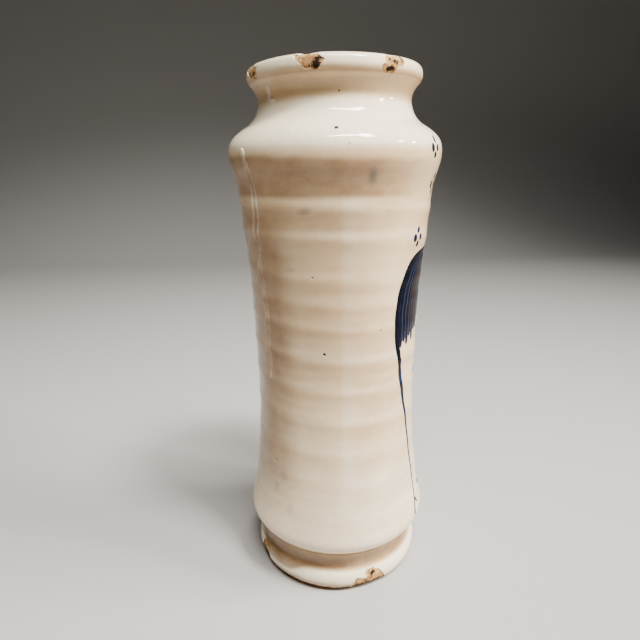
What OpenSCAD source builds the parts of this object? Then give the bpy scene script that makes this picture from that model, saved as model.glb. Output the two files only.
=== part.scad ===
// Apothecary jar (albarello): wheel-thrown earthenware under a white tin glaze, with a painted
// front. Millimetres. The origin is the middle of the resting face, +Z is up and the painted
// front faces -Y. Angles round the jar count from the front, positive towards +X.

/* [Height] */
// Height from the resting face to the crown of the lip
jar_h = 280; // [250:1:310]

/* [Outside radii, over the glaze] */
// Bead of the foot
foot_r = 49.6; // [48:0.1:51]
// Groove between the foot and the body
groove_r = 45.1; // [44:0.1:46]
// Bulge at the base of the body
base_r = 53.3; // [52:0.1:55]
// Waist, the narrowest part of the body
waist_r = 45.5; // [44:0.1:47]
// Chest, where the body starts to turn out to the shoulder
chest_r = 50.5; // [49:0.1:52]
// Shoulder, the widest part
shoulder_r = 55.2; // [54:0.1:57]
// Neck, where a cover is tied
neck_r = 39.2; // [38.5:0.1:41]
// Lip
lip_r = 44.1; // [43:0.1:46]

/* [Inside] */
// Radius of the mouth, inside the glaze
mouth_r = 33; // [31:0.1:33.5]
// Wall thickness of the body, glaze and clay
wall = 7.2; // [6:0.1:8]
// Height of the floor's middle above the resting face
floor_z = 11; // [9:0.5:14]

/* [Coats] */
// Thickness of the tin glaze
glaze_t = 0.6; // [0.4:0.1:0.8]
// How far the painted pigment stands proud of the glaze
paint_t = 0.12; // [0.08:0.02:0.2]
// Thickness of the thin wash of pigment under the feathers
wash_t = 0.04; // [0.02:0.01:0.06]
// How far the runs of glaze stand proud
run_t = 0.5; // [0.3:0.1:0.8]

/* [Hidden] */

$fn = 96;
design_h = 280;        // the height that the levels below are drawn for
curve_steps = 5;       // straight stretches in each span of a curve
foot_face_r = 37;      // inner edge of the resting ring
foot_hollow = 2.5;     // depth of the hollow under the foot
bare_edge_z = 1.4;       // the glaze stops here, above the resting face
bond = 0.05;           // how deep pigment and runs sink into the glaze
clay_colour = [0.74, 0.58, 0.42];
glaze_colour = [0.88, 0.84, 0.76];
inside_colour = [0.85, 0.80, 0.71];
run_colour = [0.91, 0.88, 0.82];
cobalt = [0.07, 0.12, 0.26];
deep_cobalt = [0.05, 0.08, 0.18];
pale_cobalt = [0.24, 0.28, 0.42];
manganese = [0.22, 0.12, 0.10];

// A level of the drawing, moved with the jar's height
function level(z) = z * jar_h / design_h;

// One span of a Catmull-Rom curve from b to c, at t from 0 to 1
function span(a, b, c, d, t) =
    ((2 * b) + (c - a) * t + (2 * a - 5 * b + 4 * c - d) * t * t
     + (3 * b - 3 * c + d - a) * t * t * t) / 2;

// A smooth curve through every one of the points
function curve(p, steps) = [
    for (i = [0 : len(p) - 2], s = [0 : steps - 1])
        span(i == 0 ? 2 * p[0] - p[1] : p[i - 1], p[i], p[i + 1],
             i == len(p) - 2 ? 2 * p[i + 1] - p[i] : p[i + 2], s / steps),
    p[len(p) - 1]
];

// A path moved sideways by t, to the left of its own direction
function beside(p, t) = [
    for (i = [0 : len(p) - 1])
        let (d = p[min(i + 1, len(p) - 1)] - p[max(i - 1, 0)], n = [-d.y, d.x] / norm(d))
        p[i] + t * n
];

function backwards(p) = [for (i = [len(p) - 1 : -1 : 0]) p[i]];

// The outside of the glaze, as [radius, height], from the foot's edge to the lip's crown
outside_keys = [
    [foot_r - 2.7, level(bare_edge_z)],
    [foot_r - 1.2, level(3.4)],
    [foot_r - 0.2, level(6.4)],
    [foot_r - 0.1, level(9.4)],
    [foot_r - 0.9, level(12)],
    [foot_r - 2.6, level(14)],
    [groove_r + 0.6, level(16.2)],
    [groove_r, level(19)],
    [groove_r + 0.4, level(22)],
    [groove_r + 2.3, level(25.2)],
    [base_r - 2.7, level(28.6)],
    [base_r - 0.6, level(32)],
    [base_r, level(36)],
    [base_r - 1.4, level(43)],
    [waist_r + 4.6, level(52)],
    [waist_r + 2.9, level(64)],
    [waist_r + 1.4, level(78)],
    [waist_r + 0.4, level(94)],
    [waist_r, level(113)],
    [waist_r + 0.2, level(134)],
    [waist_r + 0.7, level(154)],
    [waist_r + 1.4, level(172)],
    [chest_r - 2.4, level(188)],
    [chest_r - 1.1, level(200)],
    [chest_r, level(213)],
    [chest_r + 0.9, level(222)],
    [shoulder_r - 2.5, level(228)],
    [shoulder_r - 0.9, level(233)],
    [shoulder_r, level(238)],
    [shoulder_r - 0.4, level(243)],
    [shoulder_r - 2.6, level(247)],
    [neck_r + 9.4, level(250.4)],
    [neck_r + 5.2, level(253.2)],
    [neck_r + 2.2, level(256.6)],
    [neck_r + 0.6, level(260.4)],
    [neck_r, level(264)],
    [neck_r + 0.6, level(267.2)],
    [lip_r - 2.9, level(269.9)],
    [lip_r - 1.2, level(271.9)],
    [lip_r - 0.1, level(273.9)],
    [lip_r, level(276.3)],
    [lip_r - 0.8, level(278.4)],
    [lip_r - 2.5, level(279.6)],
    [lip_r - 4.6, jar_h]
];
outside = curve(outside_keys, curve_steps);

// The inside of the glaze, from the lip's crown down into the mouth
mouth_top_z = level(272.5);
mouth_low_z = level(258.5);
lip_keys = [
    [lip_r - 4.6, jar_h],
    [mouth_r + 4.0, level(279.3)],
    [mouth_r + 1.8, level(277.4)],
    [mouth_r + 0.5, level(275)],
    [mouth_r, mouth_top_z]
];

// Below the mouth: under the shoulder, down the body and across the floor
cavity_keys = [
    [mouth_r, mouth_low_z],
    [mouth_r + 1.2, level(254.5)],
    [mouth_r + 5.2, level(250.2)],
    [shoulder_r - wall - 4.4, level(246)],
    [shoulder_r - wall - 1.0, level(241)],
    [shoulder_r - wall - 0.6, level(235)],
    [chest_r - wall + 1.6, level(226)],
    [chest_r - wall, level(213)],
    [chest_r - wall - 2.4, level(188)],
    [waist_r - wall + 0.7, level(154)],
    [waist_r - wall, level(113)],
    [waist_r - wall + 1.4, level(78)],
    [waist_r - wall + 4.6, level(52)],
    [base_r - wall - 0.8, level(36)],
    [base_r - wall - 2.6, level(26)],
    [base_r - wall - 7.6, level(18)],
    [base_r - wall - 15, floor_z + 1.8],
    [18, floor_z + 0.3],
    [6, floor_z]
];
lip_inside = curve(lip_keys, curve_steps);
cavity = curve(cavity_keys, curve_steps);
inside = concat([for (i = [0 : len(lip_inside) - 2]) lip_inside[i]],
                [[mouth_r, mouth_top_z]], cavity, [[0, floor_z]]);

// The same two surfaces of the clay, one coat of glaze below
clay_outside = beside(outside, glaze_t);
clay_inside = concat(
    beside([for (p = inside) if (p.y > mouth_top_z) p], glaze_t),
    [[mouth_r + glaze_t, mouth_top_z], [mouth_r + glaze_t, mouth_low_z]],
    beside([for (p = inside) if (p.y < mouth_low_z && p.x > 0) p], glaze_t),
    [[0, floor_z - glaze_t]]
);

// The foot's underside: a resting ring round a shallow hollow, with worn edges
foot_under = concat(
    [[0, foot_hollow], [foot_face_r - 9, foot_hollow - 0.2], [foot_face_r - 3, foot_hollow - 1.1]],
    [[foot_face_r, 0], [foot_r - 6.4, 0], [foot_r - 5.1, 0.6]]
);

clay_profile = concat(foot_under, clay_outside, clay_inside);
outer_glaze_profile = concat(outside, backwards(clay_outside));
inner_glaze_profile = concat(inside, backwards(clay_inside));

// Chips where the lip and the foot were knocked: [angle, radius, height, ball] for the clay.
// The glaze has flaked off a little further out than the clay is broken.
flake = 1.5;
chips = [
    [-111, lip_r + 0.6, level(278.5), 4.6],
    [-103.5, lip_r + 1.5, level(275.2), 3.4],
    [-56, lip_r + 0.6, level(277.6), 4.2],
    [-158, lip_r + 1.6, level(277), 3.6],
    [-78, foot_r + 2.2, 0.5, 8],
    [-66.5, foot_r + 2.2, 1, 8],
    [-88, foot_r + 1.8, -2, 5.6],
    [-158, foot_r + 2.8, level(4), 6.6]
];

module chip_balls(extra) {
    for (c = chips)
        rotate([0, 0, c[0] - 90])
            translate([c[1], 0, c[2]]) sphere(r = c[3] + extra, $fn = 32);
}

// The radius of the glaze on the body at a height
body_table = [for (p = outside) if (p.y > level(22) && p.y < level(262)) [p.y, p.x]];
function body_r(z) = lookup(z, body_table);

// A point that stands out from the glaze by t, from [angle, height]
function on_body(p, t) =
    let (r = body_r(p.y) + t) [r * sin(p.x), -r * cos(p.x), p.y];

// Brush pressure along a stroke, thin at both ends, at t from 0 to 1
function pressure(t) = 0.12 + 0.88 * pow(sin(180 * pow(t, 0.8)), 0.6);

// A thin coat on the body, from base to t proud of the glaze. The grid's rows are lists of
// points as [angle, height], all with the same number of points. Seen from outside, rows
// that follow each other downwards run from left to right.
module coat(grid, t, base = -bond) {
    rows = len(grid);
    columns = len(grid[0]);
    top = [for (row = grid, p = row) on_body(p, t)];
    low = [for (row = grid, p = row) on_body(p, base)];
    k = len(top);
    last = (rows - 1) * columns;
    quads = concat(
        [for (i = [0 : rows - 2], j = [0 : columns - 2], m = [i * columns + j])
            [m, m + 1, m + columns + 1, m + columns]],
        [for (i = [0 : rows - 2], j = [0 : columns - 2], m = [k + i * columns + j])
            [m, m + columns, m + columns + 1, m + 1]],
        [for (i = [0 : rows - 2], m = [i * columns]) [m, m + columns, k + m + columns, k + m]],
        [for (i = [0 : rows - 2], m = [(i + 1) * columns + columns - 1])
            [m, m - columns, k + m - columns, k + m]],
        [for (j = [0 : columns - 2]) [j + 1, j, k + j, k + j + 1]],
        [for (j = [0 : columns - 2], m = [last + j]) [m, m + 1, k + m + 1, k + m]]
    );
    polyhedron(concat(top, low),
        [for (q = quads, h = [0, 1]) h == 0 ? [q[0], q[1], q[2]] : [q[0], q[2], q[3]]]);
}

// A brush stroke on the body. The route is a list of [angle, height, width], and full keeps
// the route's own widths, where the brush was never lifted.
module stroke(route, t, full = false, steps = 3, across = 2) {
    line = curve(route, steps);
    n = len(line) - 1;
    function edge(i, side) =
        let (a = line[max(i - 1, 0)], b = line[min(i + 1, n)],
             to_deg = 180 / (PI * body_r(line[i].y)),
             d = [(b.x - a.x) / to_deg, b.y - a.y], m = [-d.y, d.x] / norm(d),
             w = line[i].z / 2 * (full ? 1 : pressure(i / n)))
        [line[i].x + side * w * m.x * to_deg, line[i].y + side * w * m.y];
    coat([for (i = [0 : n]) [for (j = [0 : across]) edge(i, 2 * j / across - 1)]], t);
}

function mirrored(route) = [for (p = route) [-p.x, p.y, p.z]];

module both_sides(route, t) {
    stroke(route, t, full = true);
    stroke(mirrored(route), t, full = true);
}

function raised(route) = [for (p = route) [p.x, level(p.y), p.z]];

// The bold line round each plume: [angle, height, width of the brush]
outline_route = [
    [-14, 192, 3], [-28.5, 189.6, 6.4], [-38.5, 187.4, 6], [-44.2, 182.8, 5.4],
    [-49.4, 173.5, 5], [-51.6, 163, 4.6], [-51.7, 153, 4.4], [-50, 143, 4], [-47.8, 134.5, 2.8],
    [-46.8, 131, 2.2]
];
// The long thin tail that it is drawn out into, and the flick that ends it
tail_route = [
    [-47.8, 137, 3], [-45.8, 125.5, 3.2], [-43, 117, 2.9], [-39.4, 106, 2.5],
    [-35.7, 95.5, 2.4], [-33.6, 85.5, 2.2], [-31.6, 74, 2], [-30.2, 62.6, 1.9],
    [-29.7, 53.5, 1.7], [-31, 43.5, 1.7], [-33.6, 36, 2.4]
];
flick_route = [[-30.6, 45.5, 0.9], [-28.6, 42.4, 1.3], [-26.6, 40.6, 1.8]];

// A plume lies between an outer and an inner edge: [angle, height], from the top down
plume_outer = [[-24, 189], [-38, 186.2], [-46.6, 178.2], [-50.5, 165], [-50.7, 152], [-49, 141.5]];
plume_inner = [[-13.5, 189.5], [-15, 184.5], [-16.5, 178], [-18, 171], [-19, 163.5], [-19.5, 156]];
plume_steps = 3;
plume_rows = plume_steps * (len(plume_outer) - 1);
feather_drops = [0, -1, 3, 1, 5.5, 2.5, 4.5, 0];   // how far each feather hangs below the rest
feather_count = len(feather_drops);
feather_fill = 0.88;        // share of its place that a feather covers
brown_feathers = [3, 4, 6];

// The point of a plume that is u of the way from its outer to its inner edge, in row k
function plume_point(u, k, drop) =
    let (outer = curve(plume_outer, plume_steps)[k], inner = curve(plume_inner, plume_steps)[k],
         p = outer + u * (inner - outer))
    [p.x, level(p.y - drop * pow(k / plume_rows, 3))];

// A feather as a grid of three points a row, blunt at the top and pointed at its tip
function feather_grid(i) = [
    for (k = [0 : plume_rows])
        let (half = feather_fill / 2 * (k == plume_rows ? 0.25 : k == 0 ? 0.6 : 1))
        [for (side = [-1, 0, 1])
            plume_point((i + 0.5 + side * half) / feather_count, k, feather_drops[i])]
];

// The wash under a plume has a point of its lower edge under each feather's tip
function wash_drop(j) =
    j % 2 == 1 ? feather_drops[(j - 1) / 2] + 0.3
               : min(feather_drops[max(j / 2 - 1, 0)],
                     feather_drops[min(j / 2, feather_count - 1)]) - 0.6;
wash_grid = [
    for (k = [0 : plume_rows])
        [for (j = [0 : 2 * feather_count]) plume_point(j / (2 * feather_count), k, wash_drop(j))]
];

function mirrored_grid(grid) = [for (row = grid) backwards([for (p = row) [-p.x, p.y]])];

module feathers(indices) {
    for (i = indices) {
        coat(feather_grid(i), paint_t, wash_t);
        coat(mirrored_grid(feather_grid(i)), paint_t, wash_t);
    }
}

// A sprig grows between the tails: [angle, height, width of the brush]
stem_route = [[0.4, 172, 1.2], [-0.6, 150, 1.8], [0.5, 122, 2], [-0.4, 94, 1.9], [0.3, 62, 1.2]];
leaf_heights = [140, 116, 92, 74];
leaf_spans = [19, 24, 17, 11];
leaf_rise = 7;

// Four petals round an empty middle
petal_l = 4;
petal_w = 3.2;
petal_gap = 2.9;
flower_places = [[-38.7, 199.2], [-35.2, 241], [-24.8, 224.2], [-8.5, 207], [-15, 50]];

module petal(a, z) {
    stroke([[a, z + petal_l / 2, petal_w], [a, z - petal_l / 2, petal_w]],
           paint_t, steps = 4, across = 1);
}

module flower(a, z) {
    to_deg = 180 / (PI * body_r(z));
    for (side = [-1, 1]) {
        petal(a + side * petal_gap * to_deg, z);
        petal(a, z + side * (petal_gap + 0.9));
    }
}

module leaf(side, z, reach) {
    stroke([[side * 1.8, level(z), 0.9], [side * reach * 0.4, level(z + leaf_rise * 0.8), 4],
            [side * reach * 0.75, level(z + leaf_rise), 3], [side * reach, level(z + 4), 0.8]],
           paint_t, full = true, steps = 4);
}

module clay_body() {
    color(clay_colour) difference() {
        rotate_extrude() polygon(clay_profile);
        chip_balls(0);
    }
}

module outer_glaze() {
    color(glaze_colour) difference() {
        rotate_extrude() polygon(outer_glaze_profile);
        chip_balls(flake);
    }
}

module inner_glaze() {
    color(inside_colour) rotate_extrude() polygon(inner_glaze_profile);
}

// Two strands of glaze that ran down from the shoulder and met below the chest
run_long = [
    [-145.8, 239, 3.2], [-145.6, 228, 2], [-146.5, 215, 1.8], [-149, 202, 1.8],
    [-146, 194, 2.1], [-148.6, 185, 2.2], [-147.4, 172, 2.4], [-145.6, 158, 2.6],
    [-146.6, 146, 3], [-146.6, 140, 1.8], [-143.6, 133, 1.4], [-144.8, 124, 1]
];
run_short = [
    [-144.6, 236, 1], [-141.6, 226, 1.1], [-141.3, 216, 1.1], [-142.8, 207, 1],
    [-144.6, 200, 1], [-145.4, 196, 1]
];

module glaze_runs() {
    color(run_colour) {
        stroke(raised(run_long), run_t, full = true);
        stroke(raised(run_short), run_t * 0.6, full = true);
    }
}

module cobalt_outlines() {
    color(cobalt) both_sides(raised(outline_route), paint_t);
}

module cobalt_tails() {
    color(cobalt) {
        both_sides(raised(tail_route), paint_t);
        both_sides(raised(flick_route), paint_t);
    }
}

module cobalt_wash() {
    color(pale_cobalt) {
        coat(wash_grid, wash_t);
        coat(mirrored_grid(wash_grid), wash_t);
    }
}

module cobalt_feathers() {
    color(deep_cobalt)
        feathers([for (i = [0 : feather_count - 1]) if (len(search(i, brown_feathers)) == 0) i]);
}

module manganese_feathers() {
    color(manganese) feathers(brown_feathers);
}

module cobalt_stem() {
    color(cobalt) stroke(raised(stem_route), paint_t, full = true);
}

module cobalt_leaves() {
    color(cobalt) for (i = [0 : len(leaf_heights) - 1], side = [-1, 1])
        leaf(side, leaf_heights[i], leaf_spans[i]);
}

module cobalt_flowers() {
    color(cobalt) for (p = flower_places, side = [-1, 1]) flower(side * p.x, level(p.y));
}

clay_body();
outer_glaze();
inner_glaze();
glaze_runs();
cobalt_outlines();
cobalt_tails();
cobalt_wash();
cobalt_feathers();
manganese_feathers();
cobalt_stem();
cobalt_leaves();
cobalt_flowers();
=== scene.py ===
"""Looks of a tall waisted apothecary jar: thrown clay, white tin glaze and a painted front.

The jar stands on its foot with its axis on Z and its painted front towards -Y. Angles round
it are in degrees from the front, positive towards +X, and heights and radii are in
millimetres until a mesh is made.
"""

import logging
import math
from dataclasses import dataclass, field
from enum import Enum
from typing import Callable, Iterable, Sequence

import bmesh
import bpy
from mathutils import Matrix, Vector, kdtree, noise


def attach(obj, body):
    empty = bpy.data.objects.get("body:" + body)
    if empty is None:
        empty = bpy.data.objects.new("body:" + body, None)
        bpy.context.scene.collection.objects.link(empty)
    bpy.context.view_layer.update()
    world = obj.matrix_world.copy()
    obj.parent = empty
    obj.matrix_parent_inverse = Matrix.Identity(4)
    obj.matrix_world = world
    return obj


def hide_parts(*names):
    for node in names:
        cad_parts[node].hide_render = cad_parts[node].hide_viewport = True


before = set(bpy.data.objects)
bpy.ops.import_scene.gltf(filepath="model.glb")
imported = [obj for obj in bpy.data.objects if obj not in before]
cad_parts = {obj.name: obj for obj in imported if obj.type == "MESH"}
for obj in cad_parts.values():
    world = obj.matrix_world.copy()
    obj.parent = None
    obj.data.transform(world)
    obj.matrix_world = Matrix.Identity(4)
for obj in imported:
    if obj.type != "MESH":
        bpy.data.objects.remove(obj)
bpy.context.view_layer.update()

LOG = logging.getLogger("jar")
MM = 0.001
BODY = "root"
# The angle of the jar's plain side, which the camera stands off.
SHOW_SIDE = -95.0
# The wall's middling radius in millimetres, at which patterns round the jar are read.
MEAN_RADIUS = 46.0
# Half of the jar's height in metres, which the lamps are aimed at.
MIDDLE = 0.14
# Edges stay crisp that turn more than this many degrees, on broken clay and on brush strokes.
BREAK_EDGE = 28.0
STROKE_EDGE = 80.0

Mesh = bmesh.types.BMesh
Material = bpy.types.Material
Node = bpy.types.Node
NodeTree = bpy.types.NodeTree
Socket = bpy.types.NodeSocket
Point = tuple[float, float]
Path = Sequence[Point]
Route = Sequence[tuple[float, float, float]]
Place = Callable[[float, float], Point]
Lift = Callable[[float, float], float]
Colour = tuple[float, float, float, float]


class Slot(str, Enum):
    """Names of material slots, one of which is passed with each piece."""

    CLAY = "fired_clay"
    GLAZE = "tin_glaze"
    INSIDE = "inner_glaze"
    RUNS = "glaze_runs"
    COBALT = "cobalt"
    WASH = "cobalt_wash"
    DEEP = "deep_cobalt"
    BROWN = "manganese"


class Look(str, Enum):
    """The finishes, by the name of each one's material."""

    CLAY = "buff_clay"
    GLAZE = "tin_glaze"
    LINING = "inner_tin_glaze"
    RUNS = "thick_tin_glaze"
    BOLD = "bold_cobalt"
    FINE = "fine_cobalt"
    WASH = "cobalt_wash"
    DEEP = "deep_cobalt"
    BROWN = "manganese"
    IRON = "iron"


Finishes = dict[Look, Material]


class Side(float, Enum):
    """The two mirrored halves of the painting."""

    LEFT = 1.0
    RIGHT = -1.0


# ---------------------------------------------------------------- small sums


def blend(low: float, high: float, share: float) -> float:
    """Returns the value that is share of the way from low to high."""
    return low + (high - low) * share


def ease(value: float, start: float, end: float) -> float:
    """Returns 0 before start and 1 after end, with a smooth step between them.

    Args:
        value: What is measured.
        start: Where the step begins.
        end: Where it ends.

    Returns:
        The step's height there, from 0 to 1.
    """
    share = min(1.0, max(0.0, (value - start) / (end - start)))
    return share * share * (3.0 - 2.0 * share)


def mottle(point: Vector, scale: float, seed: float) -> float:
    """Returns smooth noise from -1 to 1.

    Args:
        point: Where, in millimetres.
        scale: Size of one blotch, in millimetres.
        seed: Any number, which picks another pattern.

    Returns:
        The noise there.
    """
    return noise.noise(point / scale + Vector((seed, seed * 1.7, -seed * 0.6)))


def on_circle(angle: float, radius: float, height: float) -> Vector:
    """Returns the point at an angle from the front, a radius and a height."""
    turn = math.radians(angle)
    return Vector((radius * math.sin(turn), -radius * math.cos(turn), height))


def angle_of(point: Vector) -> float:
    """Returns a point's angle round the jar, from -180 to 180."""
    return math.degrees(math.atan2(point.x, -point.y))


def curve_at(points: Sequence[Sequence[float]], place: float) -> tuple[float, ...]:
    """Returns a point of a smooth curve through the given points.

    Args:
        points: What the curve passes through, each with any number of values.
        place: Where on the curve, from 0 at its first point to 1 at its last.

    Returns:
        The values there, as many as each point has.
    """
    last = len(points) - 1
    span = min(last - 1, max(0, int(place * last)))
    t = place * last - span
    b, c = points[span], points[span + 1]
    a = points[span - 1] if span else [2 * p - q for p, q in zip(b, c)]
    d = points[span + 2] if span + 2 <= last else [2 * q - p for p, q in zip(b, c)]
    return tuple(
        (2 * q + (r - p) * t + (2 * p - 5 * q + 4 * r - s) * t * t + (3 * q - 3 * r + s - p) * t**3) / 2
        for p, q, r, s in zip(a, b, c, d)
    )


def smooth_path(points: Path, steps: int) -> list[Point]:
    """Returns a smooth path through the points, with steps stretches between each two."""
    count = (len(points) - 1) * steps
    return [curve_at(points, i / count) for i in range(count + 1)]


def beside(path: Path, distance: float) -> list[Point]:
    """Returns a path moved sideways, to the left of its own direction.

    Args:
        path: The points of the path.
        distance: How far, in its own unit.

    Returns:
        The moved path, with as many points.
    """
    moved = []
    for i, (r, z) in enumerate(path):
        r0, z0 = path[max(i - 1, 0)]
        r1, z1 = path[min(i + 1, len(path) - 1)]
        long = math.hypot(r1 - r0, z1 - z0)
        moved.append((r - distance * (z1 - z0) / long, z + distance * (r1 - r0) / long))
    return moved


# ---------------------------------------------------------------- the jar's shape


@dataclass
class Outline:
    """The turned outline of the glazed jar, as pairs of radius and height."""

    outside: tuple[tuple[float, float], ...] = (
        (46.9, 1.4), (48.4, 3.4), (49.4, 6.4), (49.5, 9.4), (48.7, 12), (47, 14),
        (45.7, 16.2), (45.1, 19), (45.5, 22), (47.4, 25.2), (50.6, 28.6), (52.7, 32),
        (53.3, 36), (51.9, 43), (50.1, 52), (48.4, 64),
        (46.9, 78), (45.9, 94), (45.5, 113), (45.7, 134), (46.2, 154), (46.9, 172), (48.1, 188),
        (49.4, 200), (50.5, 213), (51.4, 222), (52.7, 228), (54.3, 233), (55.2, 238),
        (54.8, 243), (52.6, 247), (48.6, 250.4), (44.4, 253.2), (41.4, 256.6), (39.8, 260.4),
        (39.2, 264), (39.8, 267.2), (41.2, 269.9), (42.9, 271.9), (44.0, 273.9), (44.1, 276.3),
        (43.3, 278.4), (41.6, 279.6), (39.5, 280),
    )
    lip: tuple[tuple[float, float], ...] = (
        (39.5, 280), (37, 279.3), (34.8, 277.4), (33.5, 275), (33, 272.5), (33, 268),
    )
    cavity: tuple[tuple[float, float], ...] = (
        (33, 272.5), (33, 258.5), (34.2, 254.5), (38.2, 250.2), (43.6, 246), (47, 241),
        (47.4, 235), (44.9, 226), (43.3, 213), (40.9, 188), (39, 154), (38.3, 113), (39.7, 78),
        (42.9, 52), (45.3, 36), (43.5, 26), (38.5, 18), (31.1, 12.8), (18, 11.3), (6, 11), (0, 11),
    )
    underside: tuple[tuple[float, float], ...] = (
        (0, 2.5), (14, 2.4), (28, 2.3), (34, 1.4), (36.4, 0.5), (37.4, 0), (43, 0), (44.3, 0.5),
    )
    glaze: float = 0.6
    samples: list[Point] = field(init=False)

    def __post_init__(self) -> None:
        """Samples the outside once, for the radius at a height."""
        self.samples = smooth_path(self.outside, 12)

    def radius(self, height: float) -> float:
        """Returns the radius of the glaze's outside at a height.

        Args:
            height: Height above the resting face, in millimetres.

        Returns:
            The radius in millimetres.
        """
        low, high = 0, len(self.samples) - 1
        while high - low > 1:
            middle = (low + high) // 2
            if self.samples[middle][1] <= height:
                low = middle
            else:
                high = middle
        (r0, z0), (r1, z1) = self.samples[low], self.samples[high]
        share = 0.0 if z1 == z0 else min(1.0, max(0.0, (height - z0) / (z1 - z0)))
        return blend(r0, r1, share)

    def slope(self, height: float) -> float:
        """Returns how fast the outside's radius grows with height."""
        return (self.radius(height + 0.4) - self.radius(height - 0.4)) / 0.8


@dataclass
class Throwing:
    """The spiral ridge that the potter's fingers left in the wall, and finer marks on it."""

    turns: tuple[tuple[float, float, float], ...] = (
        (232.0, 0.06, 3.4), (214.5, 0.3, 3.0), (201.0, 0.34, 3.4), (180.5, 0.3, 3.4),
        (168.5, 0.16, 2.6), (156.0, 0.24, 3.0), (139.0, 0.36, 3.6), (122.0, 0.28, 3.4),
        (105.0, 0.32, 4.2), (86.5, 0.2, 4.2), (69.5, 0.16, 4.2), (50.0, 0.12, 4.2), (34.0, 0.0, 4.2),
    )
    pitch: float = 5.6
    ripple: float = 0.02

    def turn_at(self, turn: float) -> tuple[float, float, float]:
        """Returns the ridge's height, depth and width after a number of turns."""
        return curve_at(self.turns, turn / (len(self.turns) - 1))

    def ridge(self, angle: float, height: float) -> float:
        """Returns how far the spiral ridge stands out at a place, in millimetres.

        Args:
            angle: Angle from the front, in degrees.
            height: Height above the resting face, in millimetres.

        Returns:
            The push outwards in millimetres.
        """
        share = ((angle - SHOW_SIDE + 180.0) % 360.0 - 180.0) / 360.0
        total = 0.0
        for i in range(len(self.turns)):
            turn = min(len(self.turns) - 1.0, max(0.0, i + share))
            level, depth, width = self.turn_at(turn)
            away = (height - level) / width
            if abs(away) < 3.2:
                total += depth * math.exp(-away * away)
        return total

    def relief(self, angle: float, height: float) -> float:
        """Returns how far all the marks push the wall out, in millimetres.

        Args:
            angle: Angle from the front, in degrees.
            height: Height above the resting face, in millimetres.

        Returns:
            The push outwards in millimetres.
        """
        place = on_circle(angle, MEAN_RADIUS, height)
        uneven = 1.0 + 0.55 * mottle(place, 30.0, 3.1)
        phase = height / self.pitch - angle / 360.0 + 0.5 * mottle(place, 34.0, 9.2)
        fine = self.ripple * math.cos(math.tau * phase) * (0.8 + mottle(place, 20.0, 5.5))
        dents = 0.1 * mottle(place, 12.0, 7.7) + 0.14 * mottle(place, 42.0, 4.9)
        fade = ease(height, 24, 44) * (1.0 - 0.75 * ease(height, 222, 238))
        return (self.ridge(angle, height) * uneven + fine + dents) * fade

    def pool_and_painted_light(self, angle: float, height: float) -> float:
        """Returns 1 on a ridge's upward flank and 0 on its downward one: glaze that pooled above the
        ridge, and painted light from above.
        """
        steep = self.relief(angle, height + 1.8) - self.relief(angle, height - 1.8)
        return min(1.0, max(0.0, 0.5 - 1.5 * steep))


@dataclass
class Wall:
    """The glazed outside of the jar, which everything painted on it follows."""

    outline: Outline = field(default_factory=Outline)
    throwing: Throwing = field(default_factory=Throwing)

    def radius(self, angle: float, height: float) -> float:
        """Returns the radius of the glaze at an angle and a height, marks included.

        Args:
            angle: Angle from the front, in degrees.
            height: Height above the resting face, in millimetres.

        Returns:
            The radius in millimetres.
        """
        place = on_circle(angle, MEAN_RADIUS, height)
        upper = ease(height, 236, 262)
        slack = 0.14 * mottle(place, 60.0, 11.3) - 0.26
        soft = 0.05 * upper * mottle(place, 7.0, 5.2)
        return self.outline.radius(height) + self.throwing.relief(angle, height) + slack + soft

    def point(self, angle: float, height: float, proud: float = 0.0) -> Vector:
        """Returns a point of the outside in metres.

        Args:
            angle: Angle from the front, in degrees.
            height: Height above the resting face, in millimetres.
            proud: How far outside the glaze, along its normal, in millimetres.

        Returns:
            The point in metres.
        """
        slope = self.outline.slope(height)
        long = math.hypot(1.0, slope)
        radius = self.radius(angle, height) + proud / long
        return on_circle(angle, radius, height - proud * slope / long) * MM

    def degrees(self, length: float, height: float) -> float:
        """Returns the angle that a length round the jar covers at a height."""
        return math.degrees(length / self.outline.radius(height))


# ---------------------------------------------------------------- mesh work


def finish_piece(
    name: str,
    bm: Mesh,
    material: Material,
    slot: Slot,
    nodes: Iterable[str] = (),
    sharp: float = 50.0,
) -> bpy.types.Object:
    """Turns a bmesh into a smooth piece of the jar, riding on the jar's body.

    Args:
        name: The piece's name.
        bm: Its mesh, which is freed.
        material: What it is made of.
        slot: Not used.
        nodes: The CAD nodes that it stands for.
        sharp: Edges that turn more than this many degrees stay crisp.

    Returns:
        The new object, riding on the jar's body.
    """
    limit = math.radians(sharp)
    for face in bm.faces:
        face.smooth = True
    for edge in bm.edges:
        edge.smooth = not edge.is_manifold or edge.calc_face_angle(0.0) < limit
    mesh = bpy.data.meshes.new(name)
    bm.to_mesh(mesh)
    bm.free()
    mesh.materials.append(material)
    piece = bpy.data.objects.new(name, mesh)
    bpy.context.scene.collection.objects.link(piece)
    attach(piece, BODY)
    if nodes:
        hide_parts(*nodes)
    LOG.info("%s: %d faces", name, len(mesh.polygons))
    return piece


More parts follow.
